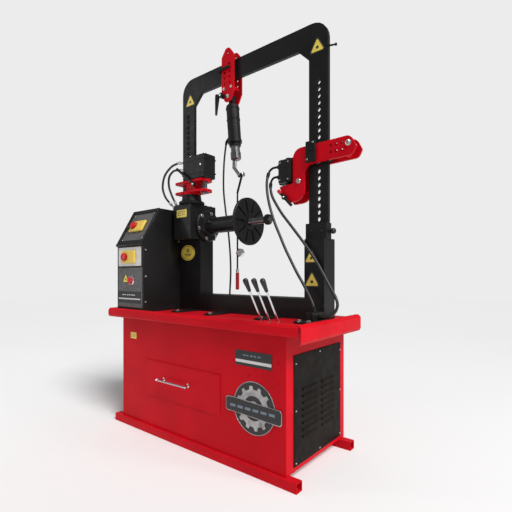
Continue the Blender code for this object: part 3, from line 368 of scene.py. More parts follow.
def turned(profile, sides, matrix):
    """A piece turned from (radius, along) points; the matrix carries the Z axis to where it lies."""
    bm = bmesh.new()
    rows = []
    for radius, along in profile:
        if radius < 1e-6:
            rows.append([bm.verts.new((0, 0, along))])
        else:
            rows.append([bm.verts.new((a, b, along)) for a, b in ring_points((0, 0), radius, sides)])
    pairs = list(zip(rows, rows[1:]))
    if profile[0][0] > 1e-6:
        pairs.append((rows[-1], rows[0]))
    for lower, upper in pairs:
        for k in range(sides):
            n = (k + 1) % sides
            corners = [row[j % len(row)] for row, j in ((lower, k), (lower, n), (upper, n), (upper, k))]
            loop = list(dict.fromkeys(corners))
            if len(loop) > 2:
                bm.faces.new(loop)
    bmesh.ops.transform(bm, matrix=matrix, verts=bm.verts)
    return bm


def aim(start, direction):
    turn = Vector(UP).rotation_difference(Vector(direction))
    return Matrix.Translation(Vector(start)) @ turn.to_matrix().to_4x4()


def rod(radius, start, end, sides=16):
    start, end = Vector(start), Vector(end)
    length = (end - start).length
    edge = min(radius * 0.2, 0.001)
    profile = [
        (0, 0), (radius - edge, 0), (radius, edge), (radius, length - edge), (radius - edge, length),
        (0, length),
    ]
    return turned(profile, sides, aim(start, end - start))


def shaped(name, bm, finish, sharp_angle):
    """An object from a shape drawn in the cabinet's frame."""
    bmesh.ops.translate(bm, verts=bm.verts, vec=ORIGIN)
    mesh = bpy.data.meshes.new(name)
    bm.to_mesh(mesh)
    bm.free()
    mesh.shade_smooth()
    mesh.set_sharp_from_angle(angle=math.radians(sharp_angle))
    mesh.materials.append(finish)
    return add_object(name, mesh)


def piece(name, shapes, finish, body="root", bevel=0.0):
    """One object from shapes in the cabinet's frame, riding on a body."""
    whole = bmesh.new()
    for shape in shapes:
        mesh = bpy.data.meshes.new("part")
        bmesh.ops.recalc_face_normals(shape, faces=shape.faces)
        shape.to_mesh(mesh)
        shape.free()
        whole.from_mesh(mesh)
        bpy.data.meshes.remove(mesh)
    obj = shaped(name, whole, finish, 32)
    if bevel:
        soften(obj, bevel)
    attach(obj, body)
    return obj


def plate(name, x, y, z, finish, body="root", bevel=0.0):
    """A piece that is one block."""
    piece(name, [block(x, y, z)], finish, body, bevel=bevel)


def soften(obj, width):
    """Rounds an object's sharp edges."""
    weld = obj.modifiers.new("weld", "WELD")
    weld.merge_threshold = 0.00001
    bevel = obj.modifiers.new("bevel", "BEVEL")
    bevel.width = width
    bevel.segments = 2
    bevel.limit_method = "ANGLE"
    bevel.angle_limit = math.radians(40)


def bolt(at, axis, size=0.007, washer=True):
    """A hexagon bolt's head on its washer."""
    at, axis = Vector(at), Vector(axis).normalized()
    low = 0.0014 if washer else 0.0
    tall = size * 0.65
    head = [(0, low), (size, low), (size, low + tall * 0.8), (size * 0.86, low + tall), (0, low + tall)]
    shapes = [turned(head, 6, aim(at, axis))]
    if washer:
        disc = [(0, 0), (size * 1.45, 0), (size * 1.45, 0.0010), (size * 1.38, 0.0014), (0, 0.0014)]
        shapes.append(turned(disc, 18, aim(at, axis)))
    return shapes


def cap_screw(at, axis, radius=0.005):
    """A round-headed screw with a six-sided socket."""
    tall = radius * 0.9
    profile = [
        (0, tall * 0.45), (radius * 0.5, tall * 0.45), (radius * 0.55, tall), (radius * 0.85, tall),
        (radius, tall * 0.7), (radius, 0), (0, 0),
    ]
    return turned(profile, 12, aim(at, axis))


# ---- Hoses ----
HOSE_R = 0.0065
TOP_HOSE_R = 0.0050
HOSE_GAP = 0.0012
RING_STEP = 0.006
HOSE_SIDES = 14
FERRULE = 0.024
RIGHT_PORT = 0.323 - HOSE_GAP
LEFT_PORT = -0.285 - HOSE_GAP
ON_FLOOR = FLOOR_TOP + HOSE_GAP
ON_CASING = HEAD_TOP + HOSE_GAP
JUNCTION_TOP = 0.675  # the block where the right-hand hoses end
JUNCTION_RIGHT = 0.585
PIPE_SHARE = 0.85  # a rigid pipe's radius over its hose's

HOSES = {  # name: (radius, moving body, where the bend starts, where it ends, rigid lengths, route)
    "right_hose_upper": (
        HOSE_R, "right_carriage", (0.545, -0.04, 0.730), (0.276, 0.0, 1.290), (0.072, 0.0),
        [
            (RIGHT_PORT, 0.040, 1.366), (0.314, 0.040, 1.366), (0.302, 0.040, 1.3675),
            (0.283, 0.036, 1.3650), (0.270, 0.028, 1.350), (0.268, 0.016, 1.322), (0.274, 0.000, 1.282),
            (0.288, -0.012, 1.225), (0.308, -0.018, 1.160), (0.338, -0.022, 1.085), (0.368, -0.022, 1.022),
            (0.398, -0.022, 0.960), (0.430, -0.022, 0.903), (0.462, -0.024, 0.850), (0.500, -0.028, 0.796),
            (0.534, -0.036, 0.748), (0.558, -0.043, 0.710), (0.565, -0.045, JUNCTION_TOP + HOSE_GAP),
        ],
    ),
    "right_hose_lower": (
        HOSE_R, "right_carriage", (0.655, -0.02, 0.745), (0.285, 0.02, 1.270), (0.066, 0.0),
        [
            (RIGHT_PORT, 0.040, 1.316), (0.314, 0.040, 1.316), (0.303, 0.039, 1.319),
            (0.288, 0.034, 1.314), (0.281, 0.026, 1.294), (0.287, 0.014, 1.262), (0.303, 0.004, 1.222),
            (0.330, -0.002, 1.180), (0.368, -0.006, 1.128), (0.410, -0.008, 1.079), (0.452, -0.009, 1.030),
            (0.494, -0.010, 0.980), (0.534, -0.010, 0.928), (0.572, -0.010, 0.872), (0.606, -0.010, 0.815),
            (0.634, -0.013, 0.771), (0.6567, -0.018, 0.7364), (0.665, -0.022, 0.708),
            (0.6579, -0.027, 0.6815), (0.6385, -0.032, 0.6621), (0.612, -0.037, 0.655),
            (JUNCTION_RIGHT + HOSE_GAP, -0.040, 0.655),
        ],
    ),
    "left_hose_upper": (
        HOSE_R, "left_arm", (-0.480, 0.02, 1.260), (-0.372, -0.01, 1.494), (0.062, 0.052),
        [
            (LEFT_PORT, -0.012, 1.486), (-0.318, -0.012, 1.488), (-0.372, -0.012, 1.496),
            (-0.440, -0.010, 1.486), (-0.506, -0.006, 1.444), (-0.536, 0.002, 1.380),
            (-0.524, 0.012, 1.322), (-0.488, 0.020, 1.278), (-0.462, 0.026, 1.250),
            (-0.462, 0.026, ON_CASING),
        ],
    ),
    "left_hose_lower": (
        HOSE_R, "left_arm", (-0.440, 0.02, 1.260), (-0.350, -0.01, 1.448), (0.040, 0.052),
        [
            (LEFT_PORT, -0.012, 1.440), (-0.318, -0.013, 1.442), (-0.366, -0.015, 1.454),
            (-0.414, -0.014, 1.456), (-0.460, -0.008, 1.430), (-0.476, 0.002, 1.380),
            (-0.462, 0.014, 1.320), (-0.434, 0.022, 1.268), (-0.420, 0.026, 1.250),
            (-0.420, 0.026, ON_CASING),
        ],
    ),
    "top_hose": (
        TOP_HOSE_R, "top_carriage", (-0.082, 0.12, 0.700), (-0.075, 0.08, 1.545), (0.032, 0.0),
        [
            (-0.0225 - HOSE_GAP, 0.058, 1.586), (-0.044, 0.060, 1.585), (-0.072, 0.076, 1.550),
            (-0.100, 0.092, 1.460), (-0.118, 0.108, 1.330), (-0.110, 0.116, 1.210), (-0.092, 0.119, 1.090),
            (-0.078, 0.120, 0.960), (-0.074, 0.120, 0.850), (-0.080, 0.120, 0.740), (-0.082, 0.120, 0.670),
            (-0.082, 0.120, ON_FLOOR),
        ],
    ),
}


def smooth_route(points, step):
    """Evenly spaced points on a smooth curve through a route."""
    points = [Vector(p) for p in points]
    padded = [2 * points[0] - points[1], *points, 2 * points[-1] - points[-2]]
    fine = []
    for a, b, c, d in zip(padded, padded[1:], padded[2:], padded[3:]):
        for s in range(24):
            t = s / 24
            bend = 2 * b + (c - a) * t + (2 * a - 5 * b + 4 * c - d) * t**2 + (3 * b - a - 3 * c + d) * t**3
            fine.append(0.5 * bend)
    fine.append(points[-1])
    lengths = [0.0]
    for a, b in zip(fine, fine[1:]):
        lengths.append(lengths[-1] + (b - a).length)
    count = round(lengths[-1] / step)
    even, at = [], 0
    for k in range(count + 1):
        want = lengths[-1] * k / count
        while at < len(lengths) - 2 and lengths[at + 1] < want:
            at += 1
        even.append(fine[at].lerp(fine[at + 1], (want - lengths[at]) / (lengths[at + 1] - lengths[at])))
    return even, lengths[-1]


def tube(name, path, radius, finish):
    """A closed tube along a path, with a map of its turn and its length."""
    bm = bmesh.new()
    layer = bm.loops.layers.uv.new("route")
    across = None
    rings, at, gone = [], [], 0.0
    for k, here in enumerate(path):
        ahead = (path[min(k + 1, len(path) - 1)] - path[max(k - 1, 0)]).normalized()
        across = ahead.orthogonal() if across is None else across - ahead * across.dot(ahead)
        across.normalize()
        other = ahead.cross(across)
        rings.append(
            [
                bm.verts.new(here + (across * a + other * b) * radius)
                for a, b in ring_points((0, 0), 1.0, HOSE_SIDES)
            ]
        )
        gone += (here - path[max(k - 1, 0)]).length
        at.append(gone)
    for k in range(len(rings) - 1):
        for s in range(HOSE_SIDES):
            n = (s + 1) % HOSE_SIDES
            face = bm.faces.new((rings[k][s], rings[k][n], rings[k + 1][n], rings[k + 1][s]))
            marks = ((s, k), (s + 1, k), (s + 1, k + 1), (s, k + 1))
            for loop, (turn, row) in zip(face.loops, marks):
                loop[layer].uv = (turn / HOSE_SIDES, at[row])
    bm.faces.new(rings[0][::-1])
    bm.faces.new(rings[-1])
    bmesh.ops.recalc_face_normals(bm, faces=bm.faces)
    return shaped(name, bm, finish, 50)


def ferrule(start, ahead, radius, length):
    """A crimped sleeve over a hose's end."""
    grip = radius + 0.0022
    rings = 4
    ring = (length - 0.004) / rings
    profile = [(radius * PIPE_SHARE - 0.001, -0.002), (grip - 0.002, -0.002), (grip, 0.001)]
    for k in range(rings):
        low = 0.002 + ring * k
        high = low + ring * 0.6
        profile += [(grip, low), (grip, high), (grip - 0.0008, high + 0.0004)]
    profile += [(grip - 0.001, length), (radius - 0.001, length)]
    return turned(profile, 16, aim(start, ahead))


def pipe_nut(start, ahead, radius):
    """The hexagon nut that holds a pipe or a hose in its port."""
    profile = [
        (0.002, 0), (radius + 0.0032, 0), (radius + 0.0040, 0.001), (radius + 0.0040, 0.0085),
        (radius + 0.0028, 0.0100), (0.002, 0.0105),
    ]
    return turned(profile, 6, aim(start, ahead))


def build_hoses():
    """Each hose is a free curve along its route; rigid pipes take the tight bends by the ports, at the ends
    that are given a rigid length.
    """
    for name, (radius, body, low, high, rigid, points) in HOSES.items():
        path, length = smooth_route(points, RING_STEP)
        step = length / (len(path) - 1)
        first, back = (round(part / step) for part in rigid)
        last = len(path) - 1 - back
        flexible = path[first : last + 1]
        hose = tube(f"{name}_line", flexible, radius, FINISH["hose_rubber"])
        port_body = "top_cylinder" if name == "top_hose" else body
        ends = (
            ("port", port_body, path[: first + 1], flexible),
            ("base", "root", path[last:][::-1], flexible[::-1]),
        )
        metal = ZINC if body == "left_arm" else BLACK
        for end, rides, pipe, line in ends:
            if len(pipe) > 1:
                bent = tube(f"{name}_{end}_pipe", pipe, radius * PIPE_SHARE, metal)
                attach(bent, rides)
            shapes = [pipe_nut(pipe[0], (pipe + line[1:])[2] - pipe[0], radius)]
            shapes.append(ferrule(line[0], line[3] - line[0], radius, FERRULE))
            piece(f"{name}_{end}_fitting", shapes, metal, rides)
        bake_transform(hose)
        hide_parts(name)


# ---- Cabinet ----
def dashes(x, z, count, axis_y, height=0.0035, depth=0.0004):
    """A row of short bars of uneven length, standing for small print."""
    shapes = []
    step = (x[1] - x[0]) / count
    for k in range(count):
        share = (0.80, 0.55, 0.70, 0.62)[k % 4]
        left = x[0] + step * k
        shapes.append(block((left, left + step * share), (axis_y - depth, axis_y), (z, z + height)))
    return shapes


def gear_outline(centre, root, tip, teeth):
    tooth = ((0.02, root), (0.14, tip), (0.44, tip), (0.56, root))
    return [
        around(centre, reach, math.tau * (k + share) / teeth)
        for k in range(teeth)
        for share, reach in tooth
    ]


def triangle(centre, side, shrink=1.0):
    """A triangle with blunted corners, standing on its base."""
    reach = side / math.sqrt(3) * shrink
    turns = [math.pi / 2 + math.tau * k / 3 for k in range(3)]
    return [around(centre, reach, turn + nudge) for turn in turns for nudge in (-0.10, 0.10)]


def build_badge():
    """A plain gear emblem with an empty banner."""
    centre = (0.400, 0.279)
    face = CAB_FRONT - GAP
    piece("badge_back", [prism([ring_points(centre, 0.109, 56)], "Y", face - 0.0015, face)], PLASTIC)
    rim = prism([ring_points(centre, 0.1115, 56), ring_points(centre, 0.1085, 56)], "Y", face - 0.0024, face)
    gear = prism(
        [gear_outline(centre, 0.079, 0.094, 12), ring_points(centre, 0.052, 40)], "Y", face - 0.0040,
        face - 0.0012,
    )
    hub = prism(
        [ring_points(centre, 0.030, 28), ring_points(centre, 0.019, 24)], "Y", face - 0.0034, face - 0.0012,
    )
    eyelet = rectangle((0.0065, 0.0085), (0, 0.0008))
    eyelets = [
        turned(eyelet, 14, aim((x, face - 0.0040, z), TO_FRONT))
        for x, z in ring_points(centre, 0.0655, 12)
    ]
    piece("badge_gear", [rim, gear, hub, *eyelets], BADGE_METAL, bevel=0.0005)
    banner = [
        (0.248, 0.296), (0.256, 0.304), (0.300, 0.305), (0.400, 0.301), (0.500, 0.297), (0.534, 0.296),
        (0.542, 0.288), (0.542, 0.246), (0.534, 0.238), (0.500, 0.239), (0.400, 0.243), (0.300, 0.247),
        (0.256, 0.247), (0.248, 0.254),
    ]
    middle = (0.395, 0.2715)
    outline = [(middle[0] + (x - middle[0]) * 1.02, middle[1] + (z - middle[1]) * 1.10) for x, z in banner]
    banner_rim = prism([outline], "Y", face - 0.0048, face - 0.0010)
    piece("badge_banner_rim", [banner_rim], BADGE_METAL, bevel=0.0004)
    piece("badge_banner", [prism([banner], "Y", face - 0.0060, face - 0.0046)], PLASTIC, bevel=0.0003)
    marks = [
        block((x, x + 0.030), (face - 0.0066, face - 0.0058), (0.2665, 0.2775))
        for x in (0.272, 0.314, 0.356, 0.398, 0.440, 0.482)
    ]
    piece("badge_banner_marks", marks, PRINT_BLUE, bevel=0.0003)


def build_cabinet():
    face = CAB_FRONT - GAP
    plate("front_plaque", (0.296, 0.495), (face - 0.0012, face), (0.450, 0.515), PLASTIC, bevel=0.0004)
    plate("front_plaque_strip", (0.299, 0.492), (face - 0.0016, face - 0.0010), (0.4630, 0.4755), LABEL_PALE)
    piece("front_plaque_print", dashes((0.340, 0.440), 0.4925, 5, face - 0.0012, 0.006), PRINT_BLUE)
    plate("front_label", (-0.486, -0.434), (face - 0.0005, face), (0.484, 0.518), LABEL_YELLOW)
    lines = []
    for z in (0.5085, 0.5015, 0.4945):
        lines += dashes((-0.480, -0.440), z - 0.002, 3, face - 0.0005, 0.0022, 0.0002)
    piece("front_label_print", lines, PRINT_DARK)
    plugs = [
        cap_screw((x, face, z), TO_FRONT, 0.0048)
        for x, z in ((0.374, 0.412), (0.526, 0.484), (0.526, 0.407))
    ]
    piece("front_screws", plugs, ENAMEL)
    # Flanges under the drawer handle's posts, and caps on its ends.
    foot = [(0, 0), (0.010, 0), (0.010, 0.0012), (0.0062, 0.0035), (0, 0.0035)]
    flanges = [turned(foot, 20, aim((x, DRAWER_FACE - GAP, HANDLE[1]), TO_FRONT)) for x in (-0.190, -0.007)]
    cap = [(0, -0.006), (0.0062, -0.006), (0.0070, -0.003), (0.0062, 0.001), (0, 0.003)]
    for x, outward in ((-0.212, TO_LEFT), (0.015, TO_RIGHT)):
        flanges.append(turned(cap, 16, aim((x, *HANDLE), outward)))
    piece("drawer_handle_flanges", flanges, CHROME, "drawer")
    depth = (DRAWER_FACE - 0.0011, DRAWER_FACE + 0.001)
    plate("drawer_edge_roll", (-0.338, 0.203), depth, (0.3845, 0.3878), ENAMEL, "drawer", bevel=0.0004)


def build_vents():
    face = CAB_HALF + PANEL_LIFT
    hoods = []
    for y in (-0.080, 0.080):
        for k in range(8):
            z = 0.160 + 0.028 * k
            wedge = [
                (face - 0.0005, z + 0.0155), (face + 0.0052, z + 0.0045), (face + 0.0052, z + 0.0025),
                (face - 0.0005, z + 0.0105),
            ]
            hoods.append(prism([wedge], "Y", y - 0.059, y + 0.059))
            for side in (-0.059, 0.0575):
                cheek = [
                    (face - 0.0005, z), (face - 0.0005, z + 0.0150), (face + 0.0050, z + 0.0045),
                    (face + 0.0050, z + 0.0030),
                ]
                hoods.append(prism([cheek], "Y", y + side, y + side + 0.0015))
    piece("vent_louvres", hoods, FINISH["black_panel"])
    places = [(y, z) for y in (-0.193, 0.195) for z in (0.075, 0.286, 0.478)]
    places += [(0.001, 0.072), (0.001, 0.500)]
    piece("vent_screws", [cap_screw((face + GAP, y, z), TO_RIGHT, 0.0042) for y, z in places], ZINC)
    back = CAB_REAR + PANEL_LIFT
    places = [(x, z) for x in (-0.488, -0.163, 0.163, 0.488) for z in (0.112, 0.548)]
    piece("rear_panel_screws", [cap_screw((x, back - 0.0020, z), TO_REAR, 0.0048) for x, z in places], ZINC)
    ribs = [
        block((x - 0.055, x + 0.055), (back, back + 0.0024), (z, z + 0.007))
        for x in (-0.25, 0.25)
        for z in (0.20 + 0.024 * k for k in range(8))
    ]
    piece("rear_panel_louvres", ribs, ENAMEL, bevel=0.0022)
    plate(
        "rear_plate", (-0.045, 0.045), (back + GAP, back + 0.0012), (0.46, 0.515), BADGE_METAL, bevel=0.0003,
    )


# ---- Feet and bolts on the tray ----
LUGS = ((-0.246, 0.034), (0.005, 0.030), (0.333, 0.030), (0.560, 0.048))


def build_feet():
    low = FLOOR_TOP + GAP
    plates, bolts = [], []
    for x, half in LUGS:
        tongue = [
            (x - half, 0.0045), (x - half, -0.125), (x - half * 0.55, -0.152), (x + half * 0.55, -0.152),
            (x + half, -0.125), (x + half, 0.0045),
        ]
        plates.append(prism([tongue], "Z", low, low + 0.008))
        places = (x,) if half < 0.04 else (x - 0.022, x + 0.024)
        for bolt_x in places:
            bolts += bolt((bolt_x, -0.122, low + 0.008), UP, 0.0082)
    for x in (-0.246, 0.150, 0.420):
        back = [
            (x - 0.03, 0.1055), (x + 0.03, 0.1055), (x + 0.03, 0.185), (x + 0.016, 0.205), (x - 0.016, 0.205),
            (x - 0.03, 0.185),
        ]
        plates.append(prism([back], "Z", low, low + 0.008))
        bolts += bolt((x, 0.176, low + 0.008), UP, 0.0082)
    piece("foot_lugs", plates, BLACK, bevel=0.0012)
    piece("foot_bolts", bolts, ZINC)


# ---- Headstock casing ----
SLOPE = Vector((0, HEAD_CROWN_Y - HEAD_FRONT, HEAD_TOP - HEAD_KNEE_Z))
SLOPE_LENGTH = SLOPE.length
SLOPE = SLOPE.normalized()
SLOPE_OUT = Vector((0, -SLOPE.z, SLOPE.y))
SLOPE_FOOT = Vector((0, HEAD_FRONT, HEAD_KNEE_Z))
HEAD_MIDDLE = (HEAD_X[0] + HEAD_X[1]) / 2


def on_slope(x, up, lift):
    return Vector((x, 0, 0)) + SLOPE_FOOT + SLOPE * up + SLOPE_OUT * lift


def sloped(bm):
    """Carries a shape drawn flat, with Y up the slope and Z out of it, onto the slanted face."""
    turn = Matrix(((1, 0, 0, 0), (0, SLOPE.y, SLOPE_OUT.y, 0), (0, SLOPE.z, SLOPE_OUT.z, 0), (0, 0, 0, 1)))
    bmesh.ops.transform(bm, matrix=Matrix.Translation(SLOPE_FOOT) @ turn, verts=bm.verts)
    return bm


def label_triangle(name, centre, side, face):
    """A plain yellow triangle with a dark border, facing forward."""
    border = prism([triangle(centre, side), triangle(centre, side, 0.80)], "Y", face - 0.0007, face - 0.0001)
    field = prism([triangle(centre, side, 0.99)], "Y", face - 0.0004, face)
    mark = prism(
        [ring_points((centre[0], centre[1] - side * 0.02), side * 0.10, 16)], "Y", face - 0.0007,
        face - 0.0003,
    )
    piece(f"{name}_field", [field], LABEL_YELLOW)
    piece(f"{name}_print", [border, mark], PRINT_DARK)


def build_casing():
    left, right = HEAD_X
    rims = [
        rectangle((left + inset, right - inset), (inset, SLOPE_LENGTH - inset))
        for inset in (0.001, 0.021)
    ]
    rim = sloped(prism(rims, "Z", GAP, 0.010))
    visor = [
        (HEAD_FRONT + 0.0005, HEAD_KNEE_Z + 0.006), (HEAD_FRONT - 0.012, HEAD_KNEE_Z + 0.004),
        (HEAD_FRONT - 0.014, HEAD_KNEE_Z - 0.003), (HEAD_FRONT - 0.005, HEAD_KNEE_Z - 0.012),
        (HEAD_FRONT + 0.0005, HEAD_KNEE_Z - 0.012),
    ]
    lip = prism([visor], "X", left, right)
    piece("casing_rim", [rim, lip], BLACK, bevel=0.0022)
    plate_face = HEAD_FRONT - 0.003
    depth = (plate_face - 0.0012, plate_face - 0.0001)
    plate("switch_plate", (left + 0.017, right - 0.017), depth, (0.887, 0.993), LABEL_PALE, bevel=0.0005)
    corners = [(x, z) for x in (left + 0.025, right - 0.025) for z in (0.895, 0.985)]
    screws = [cap_screw((x, plate_face - 0.0013, z), TO_FRONT, 0.0034) for x, z in corners]
    for x in (left + 0.031, right - 0.031):
        for up in (0.032, SLOPE_LENGTH - 0.032):
            screws.append(cap_screw(on_slope(x, up, 0.0032), SLOPE_OUT, 0.0036))
    for z in (0.975, 0.830, 0.690):
        screws.append(cap_screw((right + GAP, -0.238, z), TO_RIGHT, 0.0055))
        screws.append(cap_screw((left - GAP, -0.238, z), TO_LEFT, 0.0055))
    piece("casing_screws", screws, ZINC)
    wide, depth = (left + 0.012, right - 0.012), (HEAD_FRONT - 0.0013, HEAD_FRONT - GAP)
    plate("casing_front_panel", wide, depth, (0.655, 0.878), FINISH["grey_panel"], bevel=0.0006)
    panel = HEAD_FRONT - 0.0014
    plate("name_plate", (-0.616, -0.401), (panel - 0.0012, panel), (0.678, 0.744), PLASTIC, bevel=0.0004)
    bars = [block((-0.612, -0.405), (panel - 0.0016, panel - 0.0010), (0.6990, 0.7060))]
    bars += dashes((-0.575, -0.445), 0.7220, 6, panel - 0.0012, 0.0050)
    piece("name_plate_print", bars, LABEL_PALE)
    label_triangle("jog_label", (-0.543, 0.812), 0.058, panel)
    ring = [
        (0.0200, 0.001), (0.0290, 0.001), (0.0290, 0.006), (0.0260, 0.0105), (0.0215, 0.0105),
        (0.0200, 0.0090),
    ]
    piece("jog_button_ring", [turned(ring, 28, aim((-0.488, HEAD_FRONT, 0.806), TO_FRONT))], CHROME)
    knob = [(0, 0), (0.011, 0), (0.011, 0.004), (0.0085, 0.006), (0.0085, 0.016), (0.0070, 0.018), (0, 0.018)]
    seat = on_slope(HEAD_MIDDLE - 0.084, 0.112, 0.0033)
    piece("panel_knob", [turned(knob, 20, aim(seat, SLOPE_OUT))], PLASTIC)
    dome = [(0, 0), (0.038, 0), (0.038, 0.006), (0.034, 0.013), (0.024, 0.018), (0.010, 0.0205), (0, 0.021)]
    piece("side_dome", [turned(dome, 28, aim((left - GAP, -0.195, 0.728), TO_LEFT))], PLASTIC)
    plate("casing_seam", (right, right + 0.0010), (-0.150, 0.150), (1.1285, 1.1315), BLACK, bevel=0.0004)
    slots = [
        block((left - 0.0030, left), (0.000, 0.110), (z, z + 0.006))
        for z in (0.90 + 0.02 * k for k in range(7))
    ]
    piece("casing_louvres", slots, BLACK, bevel=0.0015)


def build_oval_label():
    """A printed oval on the pedestal's front: a gear above two short bars."""
    x, z = -0.306, 0.966
    face = SOCKET_FACE - GAP
    ink = face - 0.0005

    def oval(wide, high):
        return [(x + wide * a, z + high * b) for a, b in ring_points((0, 0), 1.0, 40)]

    piece("oval_label", [prism([oval(0.0590, 0.0447)], "Y", face - 0.0005, face)], LABEL_YELLOW)
    marks = [prism([oval(0.0536, 0.0390), oval(0.0513, 0.0366)], "Y", ink - 0.0003, ink)]
    hub = (x, z + 0.014)
    marks.append(
        prism([gear_outline(hub, 0.0088, 0.0118, 8), ring_points(hub, 0.0044, 12)], "Y", ink - 0.0003, ink)
    )
    for low, half in ((-0.011, 0.031), (-0.019, 0.023)):
        marks.append(block((x - half, x + half), (ink - 0.0003, ink), (z + low, z + low + 0.0035)))
    piece("oval_label_print", marks, PRINT_DARK)


def build_gearbox():
    face = -0.070 - GAP
    plate("gearbox_label", (-0.315, -0.232), (face - 0.0006, face), (1.162, 1.205), LABEL_YELLOW)
    lines = []
    for z in (1.1930, 1.1830, 1.1730):
        lines += dashes((-0.306, -0.241), z, 4, face - 0.0006, 0.0035, 0.0002)
    piece("gearbox_label_print", lines, PRINT_DARK)
    bolts = []
    for y, z in ring_points(SPINDLE, 0.074, 24)[1::4]:
        bolts += bolt((-0.182 + GAP, y, z), TO_RIGHT, 0.0070)
    piece("flange_bolts", bolts, ZINC)
    collar = [(0.0580, 0), (0.0700, 0), (0.0720, 0.002), (0.0720, 0.012), (0.0690, 0.015), (0.0580, 0.015)]
    piece("swivel_collar", [turned(collar, 36, aim((-0.245, -0.020, HOUSING_TOP), UP))], BLACK)
    lid_bolts = []
    for x, y in ((-0.215, 0.100), (-0.280, 0.100), (-0.215, 0.062)):
        lid_bolts += bolt((x, y, HOUSING_TOP), UP, 0.0065)
    piece("gearbox_bolts", lid_bolts, ZINC)


# ---- Spindle ----
def threaded_rod(start, end, radius, depth, pitch, sides=20):
    """A rod with a helical thread along X, from rings whose points climb with the turn."""
    bm = bmesh.new()
    steps = round((end - start) / pitch * 4)
    rings = []
    for k in range(steps + 1):
        ring = []
        for s in range(sides):
            turn = math.tau * s / sides
            x = start + (end - start) * k / steps
            phase = (x / pitch - s / sides) % 1.0
            reach = radius - depth * abs(2 * phase - 1)
            ring.append(bm.verts.new((x, *around(SPINDLE, reach, turn))))
        rings.append(ring)
    for low, high in zip(rings, rings[1:]):
        for s in range(sides):
            n = (s + 1) % sides
            bm.faces.new((low[s], low[n], high[n], high[s]))
    bm.faces.new(rings[0][::-1])
    bm.faces.new(rings[-1])
    return bm


def build_spindle():
    def along(profile, sides, x):
        return turned(profile, sides, aim((x, *SPINDLE), TO_RIGHT))

    screw = threaded_rod(0.1215, 0.2540, 0.0179, 0.0011, 0.004)
    nose = along([(0, 0), (0.0150, 0), (0.0150, 0.006), (0.0120, 0.0085), (0, 0.0085)], 20, 0.2535)
    rod_piece = piece("clamping_screw", [screw, nose], FINISH["steel"], "spindle")
    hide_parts("spindle_screw")
    bead = [(0.0452, 0), (0.0520, 0.0000), (0.0505, -0.0045), (0.0452, -0.0075)]
    piece("spindle_weld", [along(bead, 36, 0.0915)], BLACK, "spindle")
    hub = [(0.0190, 0), (0.0400, 0), (0.0400, 0.0010), (0.0385, 0.0016), (0.0190, 0.0016)]
    piece("faceplate_hub", [along(hub, 40, 0.1220)], BLACK, "spindle")
    knurls = [rod(0.0016, (0.232, y, z), (0.248, y, z), 8) for y, z in ring_points(SPINDLE, 0.0256, 20)]
    piece("clamp_nut_ribs", knurls, BLACK, "clamp_nut")


# ---- Arms and cylinders ----
def build_left_arm():
    top = LEFT_CYLINDER_TOP
    screws = [cap_screw((x, y, top + GAP), UP, 0.0052) for x in (-0.235, -0.120) for y in (-0.042, 0.018)]
    screws += bolt((-0.302, -0.012, FORK_TOP), UP, 0.0090)
    screws += bolt((-0.320, 0.016, FORK_TOP), UP, 0.0050)
    screws.append(rod(0.0060, (-0.135, -0.0562, 1.440), (-0.135, -0.0600, 1.440)))
    piece("left_arm_screws", screws, ZINC, "left_arm")
    plug = [(0, 0), (0.0165, 0), (0.0165, 0.006), (0.0145, 0.0075), (0, 0.0075)]
    piece("left_filler_cap", [turned(plug, 6, aim((-0.262, -0.012, 1.5132), UP))], BLACK, "left_arm")
    bands = [block((-0.2862, -0.1038), (-0.0572, 0.0332), (z, z + 0.006)) for z in (1.395, 1.470)]
    piece("left_cylinder_bands", bands, BLACK, "left_arm", bevel=0.0012)
    nut = bolt((-0.175, -0.0766, 1.335), TO_FRONT, 0.0060, washer=False)
    piece("left_lever_nut", nut, ZINC, "left_lock_lever")


def build_right_arm():
    near = PLATES[0] - GAP
    head = [(0, 0), (0.0125, 0), (0.0125, 0.003), (0.0105, 0.005), (0, 0.005)]
    heads = [turned(head, 20, aim((0.4452, near, 1.2746), TO_FRONT))]
    heads += bolt((0.695, near, 1.403), TO_FRONT, 0.0095)
    heads.append(cap_screw((0.4452, PLATES[1] + GAP, 1.2746), TO_REAR, 0.011))
    piece("right_arm_pins", heads, ZINC, "right_carriage")
    screws = [cap_screw((x, 0.006 - GAP, z), TO_FRONT) for x, z in ((0.530, 1.435), (0.500, 1.362))]
    piece("right_strap_screws", screws, ZINC, "right_carriage")
    places = [(x, z) for x in (0.350, 0.396) for z in (1.290, 1.372)]
    screws = [cap_screw((x, SOCKET_FACE - GAP, z), TO_FRONT, 0.0045) for x, z in places]
    piece("right_cylinder_screws", screws, ZINC, "right_carriage")
    bands = [block((0.3370, 0.4080), (0.0036, 0.0060), (z, z + 0.008)) for z in (1.306, 1.350)]
    piece("right_cylinder_bands", bands, BLACK, "right_carriage", bevel=0.0010)
    nut = bolt((0.372, 0.0013, 1.206), TO_FRONT, 0.0060, washer=False)
    piece("right_lever_nut", nut, ZINC, "right_lock_lever")
    bar = Vector((0.372, 0.0087, 1.206))
    along = Vector((0.040, 0, -0.042))
    grip = [rod(0.0086, bar - along * 0.45, bar - along * 0.88, 14)]
    piece("right_lever_grip", grip, FINISH["red_plastic"], "right_lock_lever", bevel=0.0015)
    cap = [(0, 0), (0.0160, 0), (0.0160, 0.004), (0.0130, 0.007), (0, 0.007)]
    lid = turned(cap, 20, aim((0.366, 0.055, 1.397 + GAP), UP))
    piece("right_cylinder_cap", [lid], BLACK, "right_carriage")


TOP_PIN = Vector((-0.005, 0.055, 1.800))
TOP_DOWN = Vector((math.sin(math.radians(5)), 0, -math.cos(math.radians(5))))


